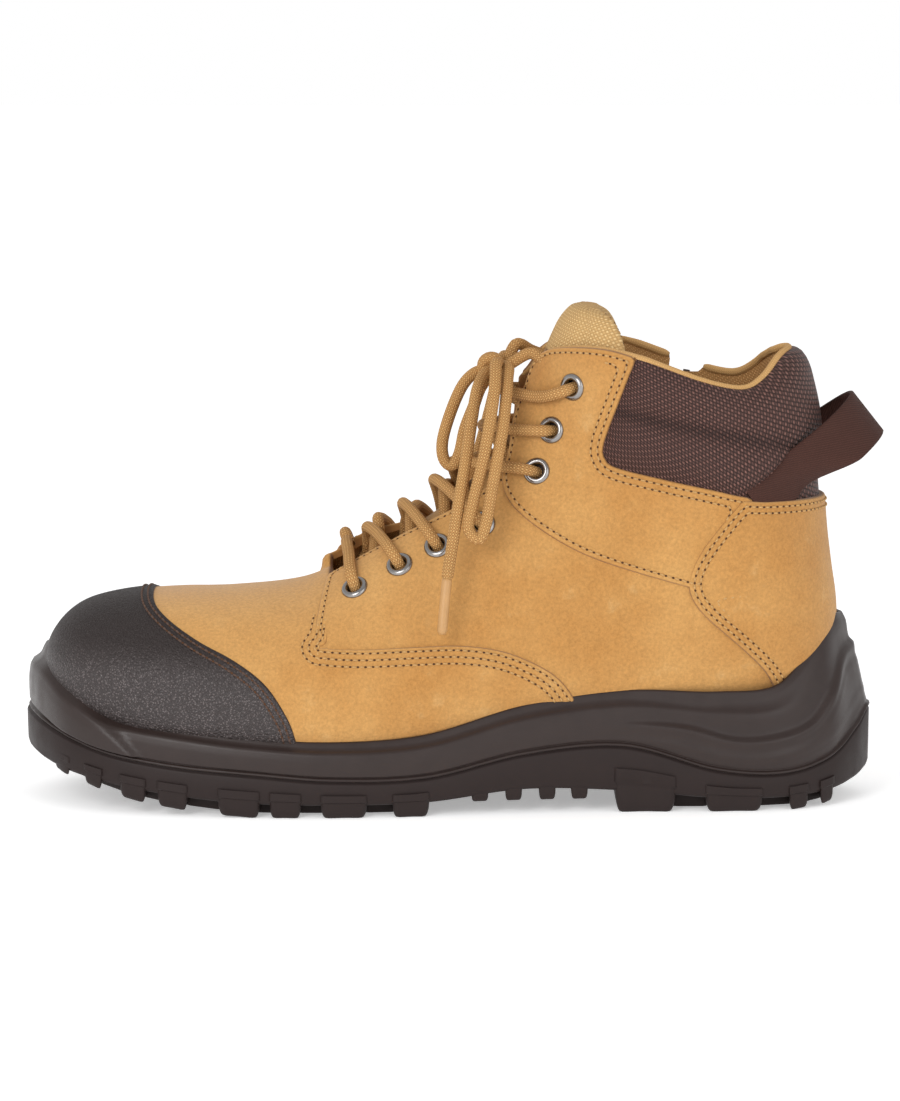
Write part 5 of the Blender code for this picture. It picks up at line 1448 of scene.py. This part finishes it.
def makeLaces():
    ways = [laceWay(-1, 0, 0, lace["over"], False)]
    for k in range(1, len(eyelets)):
        ways.append(laceWay(-1, k, k - 1, lace["over"], True))
        ways.append(laceWay(1, k, k - 1, lace["below"], True))
    ways += [toKnot(-1), toKnot(1)]
    for name, node, parts in (("laceCrossings", "lace_crossings", ways),
                              ("laceKnot", "lace_knot", [knotWay()])):
        places, faces, values = joinTubes([layTube(way, lace["radius"], lace["sides"]) for way in parts])
        makeMesh(name, places, faces, laceBraid, [node], values)
    for name, node, far in (("loopNear", "lace_loop_near", "object"),
                            ("loopFront", "lace_loop_front", "object"),
                            ("endNear", "lace_end_near", "bare"), ("endFar", "lace_end_far", "bare")):
        path = routed([intoKnot[name][0], *routes[name], *intoKnot[name][1:]])
        radius = np.full(len(path), lace["radius"])
        if far == "bare":
            inTip = pathLength(path) - runOf(path) < tip["length"]
            radius[inTip] = tip["inside"]
            radius[-2:] = tip["cordEnd"] * tip["radius"]
            sleeve = np.full(inTip.sum(), tip["radius"])
            sleeve[-2:] *= tip["end"]
            sleeve[:2] *= tip["start"]
            places, faces, _ = layTube(path[inTip], sleeve, lace["sides"])
            makeMesh(name + "Tip", places, faces, sealedTip)
        places, faces, values = layTube(path, radius, lace["sides"])
        cord = makeMesh(name, places, faces, laceBraid, [node], values)
        metres(path[0])
        pathLength(path) * mm
        metres(path)


makeLaces()
print("laced and tied")

# pull loop: one strip of webbing, both ends sewn in under the heel counter's top edge
loopSet = {"half": [(262.0, -33.6, 108.9), (269.0, -31.6, 113.8), (280.0, -27.6, 121.6),
                    (292.0, -21.4, 130.4), (300.2, -12.0, 137.0), (303.2, 0.0, 139.6)],
           "across": (0.62, 0.0, -0.785), "width": 18.7, "thick": 1.4, "laid": 1.1, "laidTo": 114.0,
           "freeFrom": 125.0, "flatSteps": 13, "round": 0.4, "bevel": 0.35, "slant": 0.5, "sharp": 50.0,
           "skinBehind": 225.0, "skinAbove": 80.0}


def pressOn(points, lift, share):
    # moves points along the skin's own normals until they lie this far off it
    spots = np.argwhere((skin[..., 0] > loopSet["skinBehind"]) & (skin[..., 2] > loopSet["skinAbove"]))
    tree = treeOf([skin[i, j] for i, j in spots])
    for n in np.where(share > 0)[0]:
        i, j = spots[tree.find(points[n])[1]]
        off = (points[n] - skin[i, j]) @ skinNormal[i, j]
        points[n] += skinNormal[i, j] * (lift[n] - off) * share[n]
    return points


def makePullLoop():
    half = np.array(loopSet["half"])
    path = routed(np.concatenate([half, half[-2::-1] * (1, -1, 1)]), 1.0)
    across = unit(np.array(loopSet["across"]))
    out = unit(np.cross(np.gradient(path, axis=0), across))
    wide, rim = loopSet["width"] / 2, loopSet["thick"] / 2
    flat = np.linspace(-1, 1, loopSet["flatSteps"]) * (wide - loopSet["round"])
    front = [(at, rim) for at in flat] + [(wide, loopSet["bevel"] * rim), (wide, -loopSet["bevel"] * rim)]
    section = np.array(front + [(-at, -high) for at, high in front])
    count = len(section)
    places = path[:, None] + across * section[None, :, :1] + out[:, None] * section[None, :, 1:]
    places = places.reshape(-1, 3)
    lift = loopSet["laid"] + np.outer(np.sign(out[:, 1] * path[:, 1]), section[:, 1]).ravel()
    places = pressOn(places, lift, easeStep(places[:, 2], loopSet["freeFrom"], loopSet["laidTo"]))
    faces = ringFaces(len(path), count)
    faces += [tuple(range(count - 1, -1, -1)), tuple(range((len(path) - 1) * count, len(path) * count))]
    run = np.repeat(np.arange(len(path)) * 1.0, count)
    values = {"warp": run * loopSet["slant"] + np.tile(section[:, 0], len(path)), "weft": run}
    strip = makeMesh("pullStrip", places, faces, webbing, ["pull_loop"], values)
    strip.data.set_sharp_from_angle(angle=math.radians(loopSet["sharp"]))


makePullLoop()
print("pull loop sewn")

# side zip on the inner side: tape, two rows of teeth and a bottom stop
zipSet = {"tapeHalf": 7.6, "tapeHeight": -1.1, "toothPitch": 2.4, "tooth": (2.5, 1.15, 1.5), "aside": 0.85,
          "height": -0.3, "first": 9.0, "last": 98.0, "stop": (6.0, 2.4, 2.0), "tapeAbove": 2.0,
          "narrower": 0.78, "softEdge": 0.3}


def brick(middle, ways, size):
    # one small block, narrower at its top: its places and faces
    signs = np.array([(a, b, c) for c in (-1, 1) for a, b in ((-1, -1), (1, -1), (1, 1), (-1, 1))], float)
    signs[4:, :2] *= zipSet["narrower"]
    places = middle + (signs * np.array(size) / 2) @ np.array(ways)
    return places, [(3, 2, 1, 0), (4, 5, 6, 7), (0, 1, 5, 4), (1, 2, 6, 5), (2, 3, 7, 6), (3, 0, 4, 7)]


def tapeField(places):
    return np.minimum(-zipField(places, zipSet["tapeHalf"]),
                      collarField(places) - zipSet["first"] + zipSet["tapeAbove"])


def makeZip():
    data, tri = cutPiece(tapeField, (rowToS(6.0), 1.0, 0.55, 0.95), rims=())
    places, _ = onSkin(*data.T[:2], zipSet["tapeHeight"])
    makeMesh("zipTapeStrip", places, tri, zipTape, ["zip_chain"], weaveOf(data))
    downs = np.arange(zipSet["first"], zipSet["last"], zipSet["toothPitch"] / 2)
    spots = np.array([spotOn(*(zipTop + zipDown * down), 1) for down in downs])
    middles, normals = onSkin(*spots.T, zipSet["height"])
    along = unit(np.gradient(middles, axis=0))
    across = np.cross(normals, along)
    places, faces = [], []
    for k, middle in enumerate(middles):
        last = k == len(middles) - 1
        if not last:
            middle = middle + across[k] * (1 if k % 2 else -1) * zipSet["aside"]
        block, sides = brick(middle, (across[k], along[k], normals[k]), zipSet["stop" if last else "tooth"])
        faces += [tuple(n + len(places) for n in face) for face in sides]
        places.extend(block)
    makeMesh("zipTeeth", places, faces, darkMetal, smooth=False)
    for name in ("zip_slider", "zip_pull"):             # these two keep the frame's own metal shapes
        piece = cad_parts[name]
        piece.data.materials.clear()
        piece.data.materials.append(darkMetal)
        soft = piece.modifiers.new("softEdges", "BEVEL")
        soft.width = zipSet["softEdge"] * mm
        soft.segments = 2


makeZip()
print("zip set in")

# insole: a cloth-faced footbed, laid over the frame's own
insoleSet = {"rows": 90, "across": 26, "trim": 0.4, "endTrim": 1.0, "lift": 0.3, "skirt": 3.0, "dish": 0.5,
             "probeFrom": 200.0, "probeHalf": 60.0, "probeStep": 0.5}


def makeInsole():
    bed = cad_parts["insole"].data
    corners = [tuple(v.co / mm) for v in bed.vertices]
    tree = BVHTree.FromPolygons(corners, [tuple(p.vertices) for p in bed.polygons])
    xs = np.array(corners)[:, 0]
    probes = np.arange(-insoleSet["probeHalf"], insoleSet["probeHalf"], insoleSet["probeStep"])
    share = np.linspace(-1, 1, insoleSet["across"])
    places = []
    for x in np.linspace(xs.min() + insoleSet["endTrim"], xs.max() - insoleSet["endTrim"], insoleSet["rows"]):
        hits = [tree.ray_cast((x, y, insoleSet["probeFrom"]), (0, 0, -1))[0] for y in probes]
        ys, zs = np.array([(y, hit[2]) for y, hit in zip(probes, hits) if hit is not None]).T
        low, high = ys[0] + insoleSet["trim"], ys[-1] - insoleSet["trim"]
        y = (low + high) / 2 + (high - low) / 2 * share
        z = np.interp(y, ys, zs) + insoleSet["lift"] - insoleSet["dish"] * (1 - share ** 4)
        z -= insoleSet["skirt"] * (np.abs(share) == 1)
        places.append(np.column_stack([np.full(len(y), x), y, z]))
    places, wide = np.concatenate(places), insoleSet["across"]
    corner = [i * wide + k for i in range(insoleSet["rows"] - 1) for k in range(wide - 1)]
    faces = [(a, a + wide, a + wide + 1, a + 1) for a in corner]
    makeMesh("insoleFace", places + origin, faces, insoleCloth, ["insole"],
             {"warp": places[:, 0], "weft": places[:, 1]})


makeInsole()
print("insole laid")
